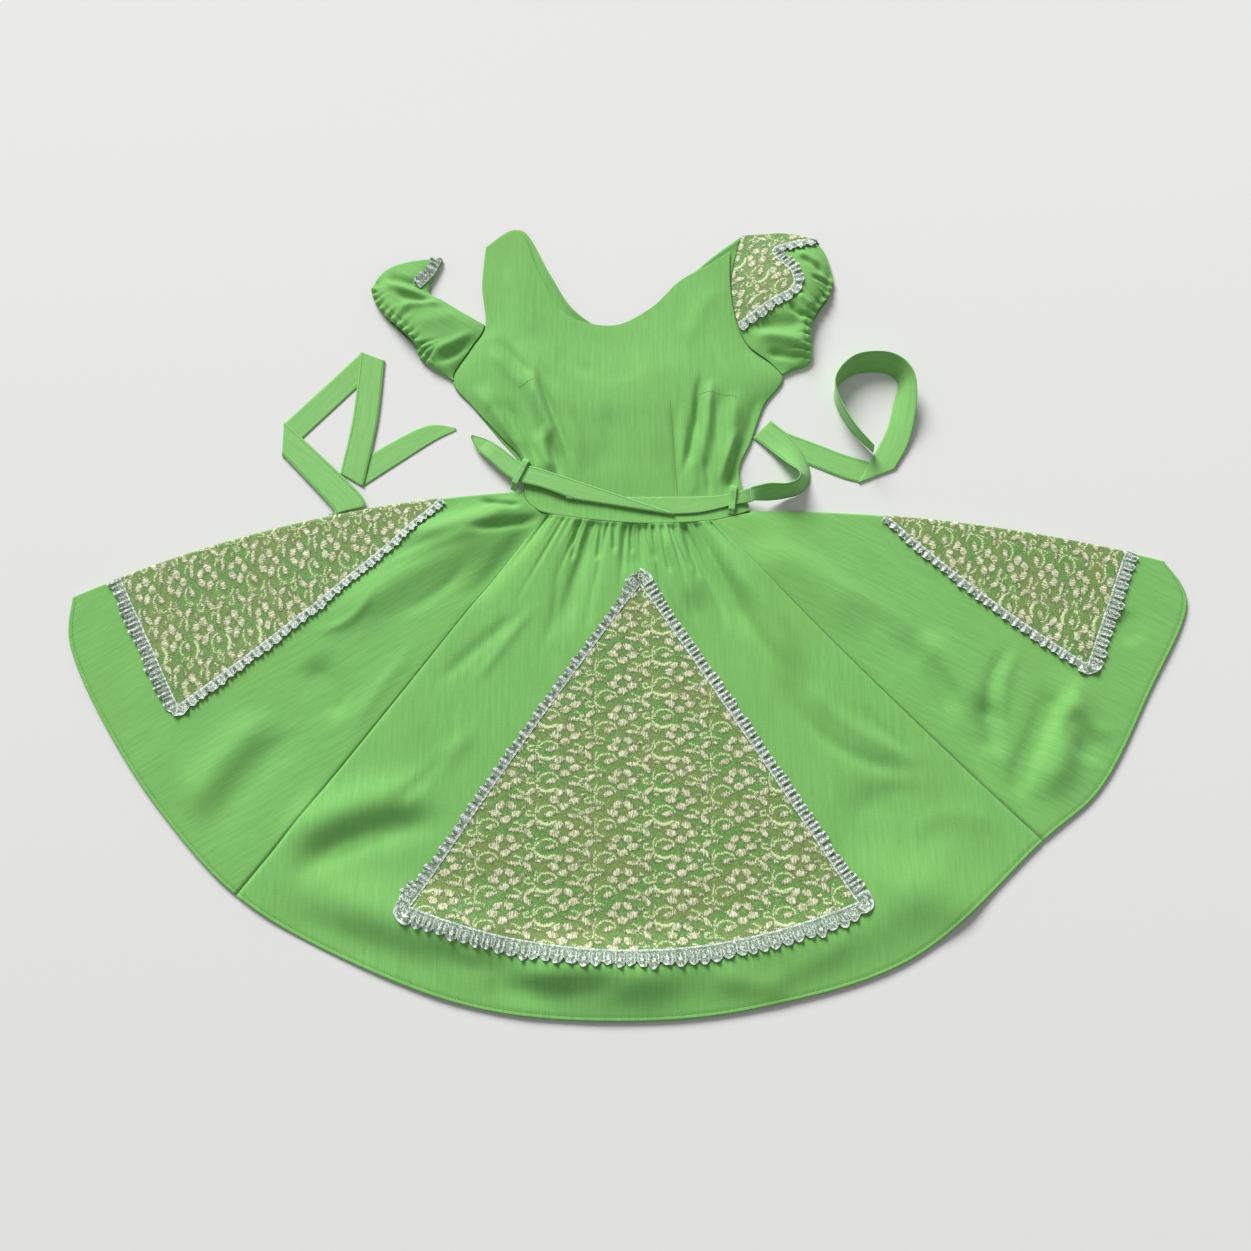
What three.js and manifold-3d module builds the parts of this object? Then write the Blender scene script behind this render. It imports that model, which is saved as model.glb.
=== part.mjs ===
// Square dance dress, laid on its back with the front up.
// Millimetres. X runs to the right as seen from the front, Y from the hem to the neck, Z up from the surface.
// The origin is under the middle of the whole outline.
import * as THREE from 'three';
import { mergeVertices } from 'three/addons/utils/BufferGeometryUtils.js';
import Module from 'manifold-3d';

const wasm = await Module();
wasm.setup();

// Cloth
const CLOTH = 1.2;            // wall of the cotton
const LACE = 1.0;             // wall of the lace and of the white edging
const SEAM_GAP = 0.5;         // between two panels at a seam
const LAY_GAP = 0.35;         // between a panel and what lies on it

// Heights of the upper layer above the surface
const EDGE_TOP = 3.2;         // bodice side seams and neckline
const WAIST_TOP = 10.5;       // middle of the waist
const WAIST_MIDDLE = 12;
const WAIST_HALF = 150;
const HEM_TOP = 4.2;
const SKIRT_PUFF = 4;         // extra height half way down the skirt
const LOWEST_TOP = 3.1;       // the upper layer never sinks below this

// Skirt: one row for each ray from waist to hem, from the left fold over the front to the right fold.
// Bow moves the middle of the ray to its left.
// waistX, waistY, hemX, hemY, bow
const SKIRT_RAYS = [
  [-133, 129, -693, -14, -27],
  [-131, 121, -688, -76, -18],
  [-127, 113, -637, -171, -10],
  [-118, 105, -556, -281, -4],
  [-106, 98, -455, -381, 3],
  [-70, 91, -331, -450, 4],
  [-33, 86, -175, -506, 0],
  [5, 83, -12, -521, 0],
  [42, 82, 150, -506, 0],
  [78, 84, 330, -450, -4],
  [110, 87, 488, -318, -6],
  [122, 90, 566, -252, -4],
  [134, 94, 638, -133, 4],
  [146, 98, 696, -25, 12],
  [156, 102, 676, 34, 17],
];
const LEFT_FOLD = 0;
const LEFT_SEAM = 4;
const RIGHT_SEAM = 10;
const RIGHT_FOLD = 14;

// Gathers of the front gore at the waist, one row each. Depth and length of the trough
const GATHERS = [
  [3.2, 60], [2.4, 85], [3.6, 55], [3.2, 95], [2.4, 70], [3.8, 60],
  [3.0, 110], [3.8, 75], [2.6, 120], [3.6, 90], [3.0, 130], [2.2, 60],
];

// Soft folds of the skirt. Height is negative in a trough. Bend moves the middle of the fold to its left.
// fromX, fromY, toX, toY, bend, halfWidth, height
const SKIRT_FOLDS = [
  [-118, 116, -300, 60, 4, 16, 9],
  [-120, 100, -384, -64, -10, 24, 7],
  [-100, 112, -205, -30, 2, 13, -5],
  [-503, -315, -397, -176, 10, 26, -3.5],
  [-520, -300, -420, -160, 12, 24, 6],
  [-402, -366, -205, -296, 18, 17, -5],
  [-420, -330, -215, -262, 18, 24, 9],
  [-396, -94, -343, -172, 6, 22, -4],
  [-430, -388, -60, -462, -22, 22, -4],
  [-400, -360, -80, -420, -20, 30, 5],
  [-176, -476, 16, -468, -16, 13, -4],
  [-36, 93, -88, -75, 0, 15, -4],
  [2, 90, 6, 10, 0, 13, -3.5],
  [34, 90, 88, -40, 3, 15, 6],
  [66, 92, 152, -78, 6, 15, -5],
  [90, 92, 214, -140, 8, 20, 8],
  [145, 60, 300, -60, 8, 26, 5],
  [444, -146, 432, -222, 0, 16, -4],
  [524, -120, 452, -272, 6, 16, -5.5],
  [552, -110, 484, -276, 8, 22, 9],
  [536, -156, 562, -222, -4, 14, -4],
  [355, -58, 432, -170, 8, 18, 6],
  [330, -60, 404, -176, 8, 18, -4],
  [612, -30, 624, -76, 0, 14, -3],
  [255, -250, 440, -372, 12, 40, -3.5],
  [250, -330, 430, -410, -10, 30, 5],
];

// Bodice. The rows of each side run from the waist to the shoulder, the others from left to right
const BODICE_LEFT = [
  [-133, 129], [-136, 172], [-166, 208], [-203, 250], [-231, 288], [-210, 333], [-191, 371], [-200, 430], [-184, 507],
];
const BODICE_RIGHT = [
  [156, 102], [143, 156], [160, 200], [179, 252], [205, 296], [163, 336], [146, 378], [139, 434], [140, 487],
];
const FRONT_NECK = [
  [-184, 507], [-147, 520], [-118, 446], [-83, 388], [-21, 371], [30, 397], [70, 439], [110, 465], [140, 487],
];
const BACK_LEFT = [
  [-133, 129], [-139, 168], [-169, 206], [-203, 250], [-231, 288], [-210, 333], [-191, 371], [-200, 430], [-184, 507],
];
const BACK_RIGHT = [
  [156, 102], [143, 156], [160, 200], [179, 252], [205, 296], [163, 336], [146, 378], [141, 440], [156, 510],
];
const BACK_NECK = [
  [-184, 507], [-143, 523], [-106, 450], [-72, 394], [-21, 366], [26, 390], [62, 427], [112, 474], [156, 510],
];
const BODICE_PUFF = [0.5, 8, 9, 10, 11, 10, 7, 3, 0.6];   // extra height at each row of the sides

// Folds of the bodice, with the same columns as the skirt's
const BODICE_FOLDS = [
  [-114, 296, -116, 150, -14, 11, 9],
  [-97, 300, -100, 140, -12, 10, -5],
  [-166, 345, -86, 150, -6, 14, -4],
  [-146, 350, -58, 148, -6, 17, 5],
  [-205, 282, -130, 160, 8, 14, 6],
  [-180, 270, -136, 150, 8, 9, -4],
  [91, 282, 80, 140, 0, 10, 6],
  [108, 268, 100, 130, 0, 8, -4],
  [142, 276, 118, 135, 4, 11, 6],
  [172, 268, 142, 165, 4, 9, -3],
  [60, 250, 68, 110, 0, 6, -1.5],
];

// Sleeves. Upper and lower edge run from the armhole to the cuff, the cuff from upper to lower edge.
// Armhole gives the rows of the bodice's side between which the sleeve is set in
const SLEEVES = {
  right: {
    upper: [[156, 510], [187, 512], [217, 513], [250, 504], [269, 483], [279, 440]],
    lower: [[205, 296], [212, 300], [220, 304], [229, 307], [237, 310], [243, 316]],
    cuff: [[279, 440], [272, 414], [263, 401], [253, 386], [246, 368], [243, 350], [244, 333], [243, 316]],
    puff: [0, 10, 16, 18, 15, 7],
    side: BACK_RIGHT,
    armhole: [8, 4],
    away: 1,
  },
  left: {
    upper: [[-191, 371], [-230, 395], [-262, 421], [-263, 459], [-293, 466], [-325, 455], [-345, 429]],
    lower: [[-231, 288], [-236, 292], [-241, 295], [-246, 298], [-251, 301], [-256, 304], [-262, 308]],
    cuff: [[-345, 429], [-340, 405], [-322, 380], [-306, 366], [-286, 344], [-276, 322], [-262, 308]],
    puff: [0, 7, 11, 12, 12, 10, 5],
    side: BODICE_LEFT,
    armhole: [6, 4],
    away: -1,
  },
};
const SLEEVE_GAP = 0.9;       // between a sleeve and the bodice, along X
const SLEEVE_EDGE = 5;        // height of a sleeve at its folded edges
const CUFF_GATHERS = 9;
const CUFF_WAVE = 1.6;

// Lace triangles: corners and the bow of each side, outward positive
const LACE_FRONT = [[15, 2, 4], [-252, -396, 52], [266, -390, 2]];
const LACE_LEFT = [[-650, 36, 0], [-546, -156, 8], [-208, 148, 0]];
const LACE_RIGHT = [[306, 116, 10], [563, -104, 0], [638, 70, 0]];
const FRONT_SCALLOPS = 72;
const SIDE_SCALLOPS = 28;
// Rims of the lace caps on the sleeves, and the far corners of the right one
const SLEEVE_RIM = [[146, 371], [190, 398], [226, 418], [228, 441], [200, 481], [250, 501], [254, 520]];
const SLEEVE_LACE_BACK = [[156, 522], [156, 506], [144, 488], [142, 440]];
const SLEEVE_TIP_RIM = [[-252, 473], [-275, 443], [-298, 421]];
const SLEEVE_SCALLOPS = { left: 4, right: 14 };
const EDGING_VALLEY = 12;
const EDGING_PEAK = 17;
const EDGING_LIFT = 1.5;      // the outer rim of the edging stands off the cloth
const RIM_STEPS = 12;         // points of one side of a lace triangle
const FOLD_WRAP = 3.5;        // lace and edging wrap the side folds down to this height

// Belt
const FOLD_STEPS = 4;         // cross lines round a flat fold

// Stretches of the belt, a row for each station. Low is the height of the lower rim above the surface, or above
// the dress where onDress is 1. Tilt turns the left rim up. Fold is 1 where the belt turns over onto itself
// and -1 where it turns under, and lowAfter is the height after the fold
// x, y, low, width, tilt, onDress, fold, lowAfter
const SASH_FRONT = [
  [-203, 206, 2.5, 3, 0, 0, 0, 0],
  [-190, 195, 2.5, 18, 0, 0, 0, 0],
  [-172, 180, 2.5, 23, 0, 1, 0, 0],
  [-141, 154, 2, 25, 0, 1, 0, 0],
  [-104, 141, 2, 24, 0, 1, 0, 0],
  [-10, 106, 3, 26, 0, 1, -1, 0.6],
  [92, 108, 0.6, 22, 0, 1, 0, 0],
  [132, 116, 0.6, 17, 0, 1, 0, 0],
  [156, 120, 2.5, 18, 20, 1, 0, 0],
];
const SASH_TURN = [
  [160, 121, 12, 18, 25, 0, 0, 0],
  [180, 123, 6, 26, 55, 0, 0, 0],
  [201, 124, 1.5, 33, 78, 0, 0, 0],
  [218, 131, 0.4, 33, 74, 0, 0, 0],
  [226, 147, 0.4, 33, 58, 0, 0, 0],
  [217, 170, 1.5, 33, 28, 0, 0, 0],
  [194, 192, 2.2, 34, 6, 0, 0, 0],
  [180, 207, 1.6, 34, 0, 0, 0, 0],
];
const TIE_RIGHT = [
  [213, 193, 0, 31, 0, 0, 0, 0],
  [246, 180, 0, 32, 0, 0, 0, 0],
  [281, 165, 0, 33, 0, 0, 0, 0],
  [321, 153, 0, 33, 0, 0, 1, 2.0],
  [350, 205, 0.6, 33, -8, 0, 0, 0],
  [362, 252, 0.1, 33, -35, 0, 0, 0],
  [364, 288, 0, 33, -62, 0, 0, 0],
  [343, 308, 0, 33, -62, 0, 0, 0],
  [303, 307, 0, 33, -66, 0, 0, 0],
  [275, 284, 0, 33, -80, 0, 0, 0],
  [272, 256, 0, 33, -86, 0, 0, 0],
  [291, 214, 0.8, 32, -84, 0, 0, 0],
  [316, 183, 2.4, 28, -80, 0, 0, 0],
];
const TIE_LEFT = [
  [-358.2, 102.3, 4.4, 47, 0, 0, 0, 0],
  [-362, 118, 4.4, 39, 0, 0, 0, 0],
  [-447, 204, 2.2, 33, 0, 0, -1, 0],
  [-339, 324, 0, 33, 0, 0, 1, 1.8],
  [-343, 232, 2.2, 33, 0, 0, 0, 0],
  [-355, 147, 1.8, 33, 0, 0, -1, 0],
  [-300, 186, 0, 31, 0, 0, 0, 0],
  [-256, 213, 0, 24, 0, 0, 0, 0],
  [-224, 219, 0, 3, 0, 0, 0, 0],
];

// Belt loops: a band across the belt, from one end on the cloth over the belt to the other end
// fromX, fromY, toX, toY
const LOOP_LEFT = [-147, 131, -129, 171];
const LOOP_RIGHT = [131, 96, 136, 135];
const LOOP_HALF = 4;          // half of a loop's width
const LOOP_EASE = 0.9;        // a loop stands off the belt
const JOIN_GAP = 0.7;         // between two stretches of the belt

// Grid steps across and along
const FRONT_GRID = { across: 36, along: 13 };
const SIDE_GRID = { across: 15, along: 12, under: 4 };
const BODICE_GRID = { across: 28, along: 16 };
const BACK_GRID = { across: 12, along: 7 };
const BODICE_BACK_GRID = { across: 14, along: 8 };
const SLEEVE_GRID = { across: 18, along: 6 };
const BELT_STEPS = 3;         // between two stations of the belt

const COLOURS = { cotton: '#6db454', lace: '#a9b184', edging: '#dfe3da' };

// Numbers and curves

const clamp = (value, low, high) => Math.min(Math.max(value, low), high);
const ease = (value) => {
  const t = clamp(value, 0, 1);
  return t * t * (3 - 2 * t);
};
const mix = (a, b, t) => a + (b - a) * t;

// A smooth curve through table rows, at a place counted in rows
function along(rows, place) {
  const last = rows.length - 1;
  const row = clamp(Math.floor(place), 0, last - 1);
  const t = place - row;
  const before = rows[Math.max(row - 1, 0)];
  const after = rows[Math.min(row + 2, last)];
  return rows[row].map((start, k) => {
    const end = rows[row + 1][k];
    const pull = (end - before[k]) / 2;
    const push = (after[k] - start) / 2;
    return start * (1 + 2 * t) * (1 - t) ** 2 + pull * t * (1 - t) ** 2
      + end * t * t * (3 - 2 * t) + push * t * t * (t - 1);
  });
}

const share = (rows, t) => along(rows, t * (rows.length - 1));

// A point of the surface spanned by four edge curves. The bottom and top curves fade faster than the sides
function patch(bottom, top, left, right, u, v) {
  const [b, t, l, r] = [share(bottom, u), share(top, u), share(left, v), share(right, v)];
  return [0, 1].map((k) => {
    const bottomChord = mix(bottom[0][k], bottom.at(-1)[k], u);
    const topChord = mix(top[0][k], top.at(-1)[k], u);
    const sideChord = mix(mix(left[0][k], left.at(-1)[k], v), mix(right[0][k], right.at(-1)[k], v), u);
    return mix(l[k], r[k], u) + mix(bottomChord, topChord, v) - sideChord
      + (b[k] - bottomChord) * (1 - v) ** 3 + (t[k] - topChord) * Math.abs(v) ** 1.5;
  });
}

// Height added at a point by a table of folds: each is a ridge or trough with soft ends
function folds(table, x, y) {
  const taper = 0.3;
  let height = 0;
  for (const [fromX, fromY, toX, toY, bend, halfWidth, rise] of table) {
    const length = Math.hypot(toX - fromX, toY - fromY);
    const ux = (toX - fromX) / length;
    const uy = (toY - fromY) / length;
    const t = ((x - fromX) * ux + (y - fromY) * uy) / length;
    const off = (y - fromY) * ux - (x - fromX) * uy - 4 * bend * t * (1 - t);
    height += rise * Math.exp(-((off / halfWidth) ** 2)) * ease(t / taper) * ease((1 - t) / taper);
  }
  return height;
}

// Walls between two grids of points

function subtract(a, b) {
  return [a[0] - b[0], a[1] - b[1], a[2] - b[2]];
}

function cross(a, b) {
  return [a[1] * b[2] - a[2] * b[1], a[2] * b[0] - a[0] * b[2], a[0] * b[1] - a[1] * b[0]];
}

function unit(a) {
  const length = Math.hypot(...a);
  return a.map((value) => value / length);
}

// The grid moved out along its own normals. Columns count against the clock as seen from outside
function moved(grid, distance, wraps = false) {
  const rows = grid.length;
  const columns = grid[0].length;
  return grid.map((row, i) => row.map((point, j) => {
    const left = wraps ? (j + columns - 1) % columns : Math.max(j - 1, 0);
    const right = wraps ? (j + 1) % columns : Math.min(j + 1, columns - 1);
    const acrossWay = subtract(row[right], row[left]);
    const alongWay = subtract(grid[Math.min(i + 1, rows - 1)][j], grid[Math.max(i - 1, 0)][j]);
    const normal = unit(cross(acrossWay, alongWay));
    return point.map((value, k) => value + normal[k] * distance);
  }));
}

function wall(outer, inner, wraps = false) {
  const rows = outer.length;
  const columns = outer[0].length;
  const points = [...outer.flat(), ...inner.flat()];
  const inside = rows * columns;
  const faces = [];
  const quad = (a, b, c, d) => faces.push(a, b, c, a, c, d);
  const at = (i, j) => i * columns + (j % columns);
  for (let i = 0; i < rows - 1; i += 1) {
    for (let j = 0; j < (wraps ? columns : columns - 1); j += 1) {
      quad(at(i, j), at(i, j + 1), at(i + 1, j + 1), at(i + 1, j));
      faces.push(inside + at(i, j), inside + at(i + 1, j + 1), inside + at(i, j + 1));
      faces.push(inside + at(i, j), inside + at(i + 1, j), inside + at(i + 1, j + 1));
    }
  }
  for (let j = 0; j < (wraps ? columns : columns - 1); j += 1) {
    quad(at(0, j), inside + at(0, j), inside + at(0, j + 1), at(0, j + 1));
    const end = rows - 1;
    quad(at(end, j + 1), inside + at(end, j + 1), inside + at(end, j), at(end, j));
  }
  for (let i = 0; i < rows - 1 && !wraps; i += 1) {
    const end = columns - 1;
    quad(at(i + 1, 0), inside + at(i + 1, 0), inside + at(i, 0), at(i, 0));
    quad(at(i, end), inside + at(i, end), inside + at(i + 1, end), at(i + 1, end));
  }
  return { points, faces };
}

// Turns the faces out where the grid was listed the other way round
function facingOut({ points, faces }) {
  let volume = 0;
  for (let f = 0; f < faces.length; f += 3) {
    const [a, b, c] = [points[faces[f]], points[faces[f + 1]], points[faces[f + 2]]];
    volume += a[0] * (b[1] * c[2] - b[2] * c[1]) + a[1] * (b[2] * c[0] - b[0] * c[2])
      + a[2] * (b[0] * c[1] - b[1] * c[0]);
  }
  return volume < 0 ? { points, faces: faces.toReversed() } : { points, faces };
}

function geometry({ points, faces }) {
  const shape = new THREE.BufferGeometry();
  shape.setAttribute('position', new THREE.Float32BufferAttribute(points.flat(), 3));
  shape.setIndex(faces);
  return shape;
}

// Solid cuts

function solid(shape) {
  const bare = shape.clone();
  bare.deleteAttribute('normal');
  bare.deleteAttribute('uv');
  const merged = mergeVertices(bare, 1e-5);
  const mesh = new wasm.Mesh({
    numProp: 3,
    vertProperties: new Float32Array(merged.attributes.position.array),
    triVerts: new Uint32Array(merged.index.array),
  });
  return new wasm.Manifold(mesh);
}

// The largest body of a solid, as points and faces
function largest(body) {
  const pieces = body.decompose();
  pieces.sort((a, b) => b.volume() - a.volume());
  const mesh = pieces[0].getMesh();
  const points = [];
  for (let v = 0; v < mesh.vertProperties.length; v += mesh.numProp) {
    points.push([...mesh.vertProperties.slice(v, v + 3)]);
  }
  return { points, faces: [...mesh.triVerts] };
}

// A straight-sided block over an outline, from one height to another
function block(outline, low) {
  const shape = new THREE.Shape(outline.map(([x, y]) => new THREE.Vector2(x, y)));
  const high = 80;
  return solid(new THREE.ExtrudeGeometry(shape, { depth: high - low, bevelEnabled: false }).translate(0, 0, low));
}

// What lies on a panel: the panel's own points moved out, cut to an outline
function laidOn(panel, outline, hole = null, low = 0) {
  const under = moved(panel.grid, LAY_GAP, panel.wraps);
  const over = moved(panel.grid, LAY_GAP + LACE, panel.wraps);
  const skin = solid(geometry(facingOut(wall(over, under, panel.wraps))));
  const cut = skin.intersect(block(outline, low));
  return largest(hole ? cut.subtract(block(hole, low)) : cut);
}

// Skirt

function skirtPlan(ray, v) {
  const [waistX, waistY, hemX, hemY, bow] = along(SKIRT_RAYS, ray);
  const dx = hemX - waistX;
  const dy = hemY - waistY;
  const side = (4 * bow * v * (1 - v)) / Math.hypot(dx, dy);
  return [waistX + dx * v - dy * side, waistY + dy * v + dx * side];
}

function waistTop(x) {
  const off = clamp((x - WAIST_MIDDLE) / WAIST_HALF, -1, 1);
  return mix(WAIST_TOP, EDGE_TOP + 1.5, off ** 4);
}

function gatherDepth(ray, down) {
  const place = ((ray - LEFT_SEAM) / (RIGHT_SEAM - LEFT_SEAM)) * GATHERS.length;
  if (place < 0 || place >= GATHERS.length) return 0;
  const [depth, length] = GATHERS[Math.floor(place)];
  const wave = ((1 - Math.cos(2 * Math.PI * place)) / 2) ** 2;
  return depth * wave * Math.exp(-((down / length) ** 2));
}

function skirtPoint(ray, v) {
  const [x, y] = skirtPlan(ray, v);
  const [waistX, waistY, hemX, hemY] = along(SKIRT_RAYS, ray);
  const down = v * Math.hypot(hemX - waistX, hemY - waistY);
  const base = mix(HEM_TOP, waistTop(waistX), (1 - v) ** 2) + SKIRT_PUFF * Math.sin(Math.PI * v);
  const z = base + folds(SKIRT_FOLDS, x, y) - gatherDepth(ray, down);
  return [x, y, Math.max(z, LOWEST_TOP)];
}

// Half a seam gap, counted in rays. Rays lie further apart towards the hem
const RAY_PITCH = { waist: 12, hem: 120 };
const seamInset = (v) => SEAM_GAP / 2 / mix(RAY_PITCH.waist, RAY_PITCH.hem, v);

// Places along a ray, closer together near the waist
const raySteps = (count) => Array.from({ length: count + 1 }, (_, i) => (i / count) ** 1.25);

function frontGore() {
  const grid = raySteps(FRONT_GRID.along).map((v) => (
    Array.from({ length: FRONT_GRID.across + 1 }, (_, j) => {
      const ray = mix(LEFT_SEAM, RIGHT_SEAM, j / FRONT_GRID.across);
      return skirtPoint(clamp(ray, LEFT_SEAM + seamInset(v), RIGHT_SEAM - seamInset(v)), v);
    })
  ));
  return { grid: grid.toReversed(), wraps: false };
}

// A side gore runs from its front seam to the fold, round it and back underneath
function sideGore(seam, fold) {
  const way = Math.sign(fold - seam);
  const grid = raySteps(SIDE_GRID.along).map((v) => {
    const start = seam + way * seamInset(v);
    const outermost = skirtPoint(fold, v);
    const edge = foldEdge(outermost, skirtPlan(fold, v - 0.01), skirtPlan(fold, v + 0.01), way);
    const pulled = ([x, y, z], t) => (
      [x + (edge[0][0] - outermost[0]) * t * t, y + (edge[0][1] - outermost[1]) * t * t, z]);
    const upper = Array.from({ length: SIDE_GRID.across }, (_, j) => {
      const t = j / SIDE_GRID.across;
      return pulled(skirtPoint(mix(start, fold, t), v), t);
    });
    const lower = Array.from({ length: SIDE_GRID.under }, (_, j) => {
      const t = 1 - (j + 1) / SIDE_GRID.under;
      return pulled([...skirtPlan(mix(start, fold, t), v), 0], t);
    });
    return [...upper, ...edge, ...lower];
  });
  return { grid: way > 0 ? grid.toReversed() : grid, wraps: false };
}

// Points round a fold, from the upper layer's height down to the surface, just inside an outermost place.
// Side is 1 where outside is to the left of the way from before to after
function foldEdge([x, y, z], before, after, side) {
  const [ux, uy] = unit([after[0] - before[0], after[1] - before[1]]);
  const radius = z / 2;
  return [90, 45, 0, -45, -90].map((degrees) => {
    const angle = THREE.MathUtils.degToRad(degrees);
    const out = radius * (Math.cos(angle) - 1) * side;
    return [x - uy * out, y + ux * out, radius + radius * Math.sin(angle)];
  });
}

function backGore() {
  const grid = raySteps(BACK_GRID.along).map((v) => (
    Array.from({ length: BACK_GRID.across + 1 }, (_, j) => {
      const ray = mix(LEFT_SEAM + seamInset(v), RIGHT_SEAM - seamInset(v), j / BACK_GRID.across);
      return [...skirtPlan(ray, v), CLOTH];
    })
  ));
  return { grid: grid.toReversed(), wraps: false };
}

// Bodice

const WAIST_SEAM = SKIRT_RAYS.map(([x, y]) => [x, y]);

// A point of a bodice panel in plan, its lower edge raised off the skirt, further where the seam runs steeply
function bodicePlan(neck, left, right, u, v) {
  const [x, y] = patch(WAIST_SEAM, neck, left, right, u, v);
  const before = share(WAIST_SEAM, u - 0.01);
  const after = share(WAIST_SEAM, u + 0.01);
  const [ux] = unit([after[0] - before[0], after[1] - before[1]]);
  return [x, y + (SEAM_GAP / Math.max(ux, 0.2)) * (1 - v) ** 6];
}

function frontPoint(u, v) {
  const [x, y] = bodicePlan(FRONT_NECK, BODICE_LEFT, BODICE_RIGHT, u, v);
  const puff = share(BODICE_PUFF.map((height) => [height]), v)[0];
  const shape = 1 - Math.abs(2 * u - 1) ** 4;
  const atWaist = waistTop(x) - EDGE_TOP;
  const base = EDGE_TOP + mix(puff * shape, atWaist, (1 - v) ** 6);
  const rim = Math.min(ease(u / 0.06), ease((1 - u) / 0.06), ease((1 - v) / 0.1));
  return [x, y, Math.max(base + folds(BODICE_FOLDS, x, y) * rim, LOWEST_TOP)];
}

function bodiceFront() {
  const { across, along: steps } = BODICE_GRID;
  const grid = Array.from({ length: steps + 1 }, (_, i) => (
    Array.from({ length: across + 1 }, (__, j) => frontPoint(j / across, i / steps))));
  return { grid, wraps: false };
}

function bodiceBack() {
  const { across, along: steps } = BODICE_BACK_GRID;
  const grid = Array.from({ length: steps + 1 }, (_, i) => (
    Array.from({ length: across + 1 }, (__, j) => {
      const [x, y] = bodicePlan(BACK_NECK, BACK_LEFT, BACK_RIGHT, j / across, i / steps);
      return [x, y, CLOTH];
    })));
  return { grid, wraps: false };
}

// Sleeves: flattened tubes, from the armhole to the gathered cuff

function armholeSeam({ side, armhole }) {
  const steps = 8;
  return Array.from({ length: steps + 1 }, (_, k) => along(side, mix(...armhole, k / steps)));
}

function sleeveTop(sleeve, u, v) {
  const puff = share(sleeve.puff.map((height) => [height]), v)[0];
  const shape = 1 - Math.abs(2 * u - 1) ** 3;
  const wave = CUFF_WAVE * ease((v - 0.45) / 0.5) * Math.cos(2 * Math.PI * CUFF_GATHERS * u) * Math.min(shape * 2, 1);
  return SLEEVE_EDGE + puff * shape + wave;
}

function sleeveTube(sleeve) {
  const { across, along: steps } = SLEEVE_GRID;
  const under = Math.abs(sleeve.armhole[0] - sleeve.armhole[1]);
  const side = sleeve.away;
  const seam = armholeSeam(sleeve);
  const grid = Array.from({ length: steps + 1 }, (_, i) => {
    const v = i / steps;
    const clear = side * SLEEVE_GAP * (1 - v) ** 4;
    const plan = (u, place = v) => {
      const [x, y] = patch(seam, sleeve.cuff, sleeve.upper, sleeve.lower, u, place);
      return [x + clear, y];
    };
    const upper = Array.from({ length: across - 1 }, (__, j) => (
      [...plan((j + 1) / across), sleeveTop(sleeve, (j + 1) / across, v)]));
    const lower = Array.from({ length: under - 1 }, (__, j) => [...plan(1 - (j + 1) / under), 0]);
    const low = foldEdge([...plan(1), SLEEVE_EDGE], plan(1, v - 0.02), plan(1, v + 0.02), -side);
    const high = foldEdge([...plan(0), SLEEVE_EDGE], plan(0, v - 0.02), plan(0, v + 0.02), side);
    return [...upper, ...low, ...lower, ...high.toReversed()];
  });
  return { grid: side < 0 ? grid.toReversed() : grid, wraps: true };
}

// Lace and edging

// Places along the rim of a lace piece, one for each scallop, with the way out
function rimStations(rim, count, closed) {
  const lengths = [0];
  for (let i = 1; i < rim.length; i += 1) {
    lengths.push(lengths[i - 1] + Math.hypot(rim[i][0] - rim[i - 1][0], rim[i][1] - rim[i - 1][1]));
  }
  const pointAt = (distance) => {
    const total = lengths.at(-1);
    const d = closed ? (distance + total) % total : Math.min(distance, total);
    const i = Math.max(lengths.findIndex((value) => value >= d), 1);
    const t = (d - lengths[i - 1]) / (lengths[i] - lengths[i - 1]);
    return [mix(rim[i - 1][0], rim[i][0], t), mix(rim[i - 1][1], rim[i][1], t)];
  };
  const pitch = lengths.at(-1) / count;
  const station = (k) => {
    const [x, y] = pointAt(k * pitch);
    const before = pointAt((k - 0.35) * pitch);
    const after = pointAt((k + 0.35) * pitch);
    const [ux, uy] = unit([after[0] - before[0], after[1] - before[1]]);
    return { x, y, outX: uy, outY: -ux };
  };
  return { station, count };
}

const outward = ({ x, y, outX, outY }, distance) => [x + outX * distance, y + outY * distance];

// The rim of a lace triangle, against the clock, its sides bowed outward by the third column
function triangleRim(corners) {
  const rim = [];
  corners.forEach(([x, y, bow], k) => {
    const [nextX, nextY] = corners[(k + 1) % corners.length];
    const length = Math.hypot(nextX - x, nextY - y);
    for (let i = 0; i < RIM_STEPS; i += 1) {
      const t = i / RIM_STEPS;
      const out = (4 * bow * t * (1 - t)) / length;
      rim.push([mix(x, nextX, t) + (nextY - y) * out, mix(y, nextY, t) - (nextX - x) * out]);
    }
  });
  rim.push(rim[0]);
  return rim;
}

// The two sides of a lace triangle that don't lie along the fold
function openRim(corners) {
  const rim = triangleRim(corners);
  return rim.slice(0, 2 * RIM_STEPS + 1);
}

function edgingOutlines({ station, count }, closed) {
  const half = SEAM_GAP / 2;
  const stations = Array.from({ length: closed ? count : count + 1 }, (_, k) => station(k));
  const lace = stations.map((place) => outward(place, -half));
  const inner = stations.map((place) => outward(place, half));
  const outer = stations.flatMap((place, k) => {
    const valley = outward(place, EDGING_VALLEY);
    if (!closed && k === count) return [valley];
    return [valley, outward(station(k + 0.3), EDGING_PEAK), outward(station(k + 0.7), EDGING_PEAK)];
  });
  return { lace, inner, outer };
}

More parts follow.
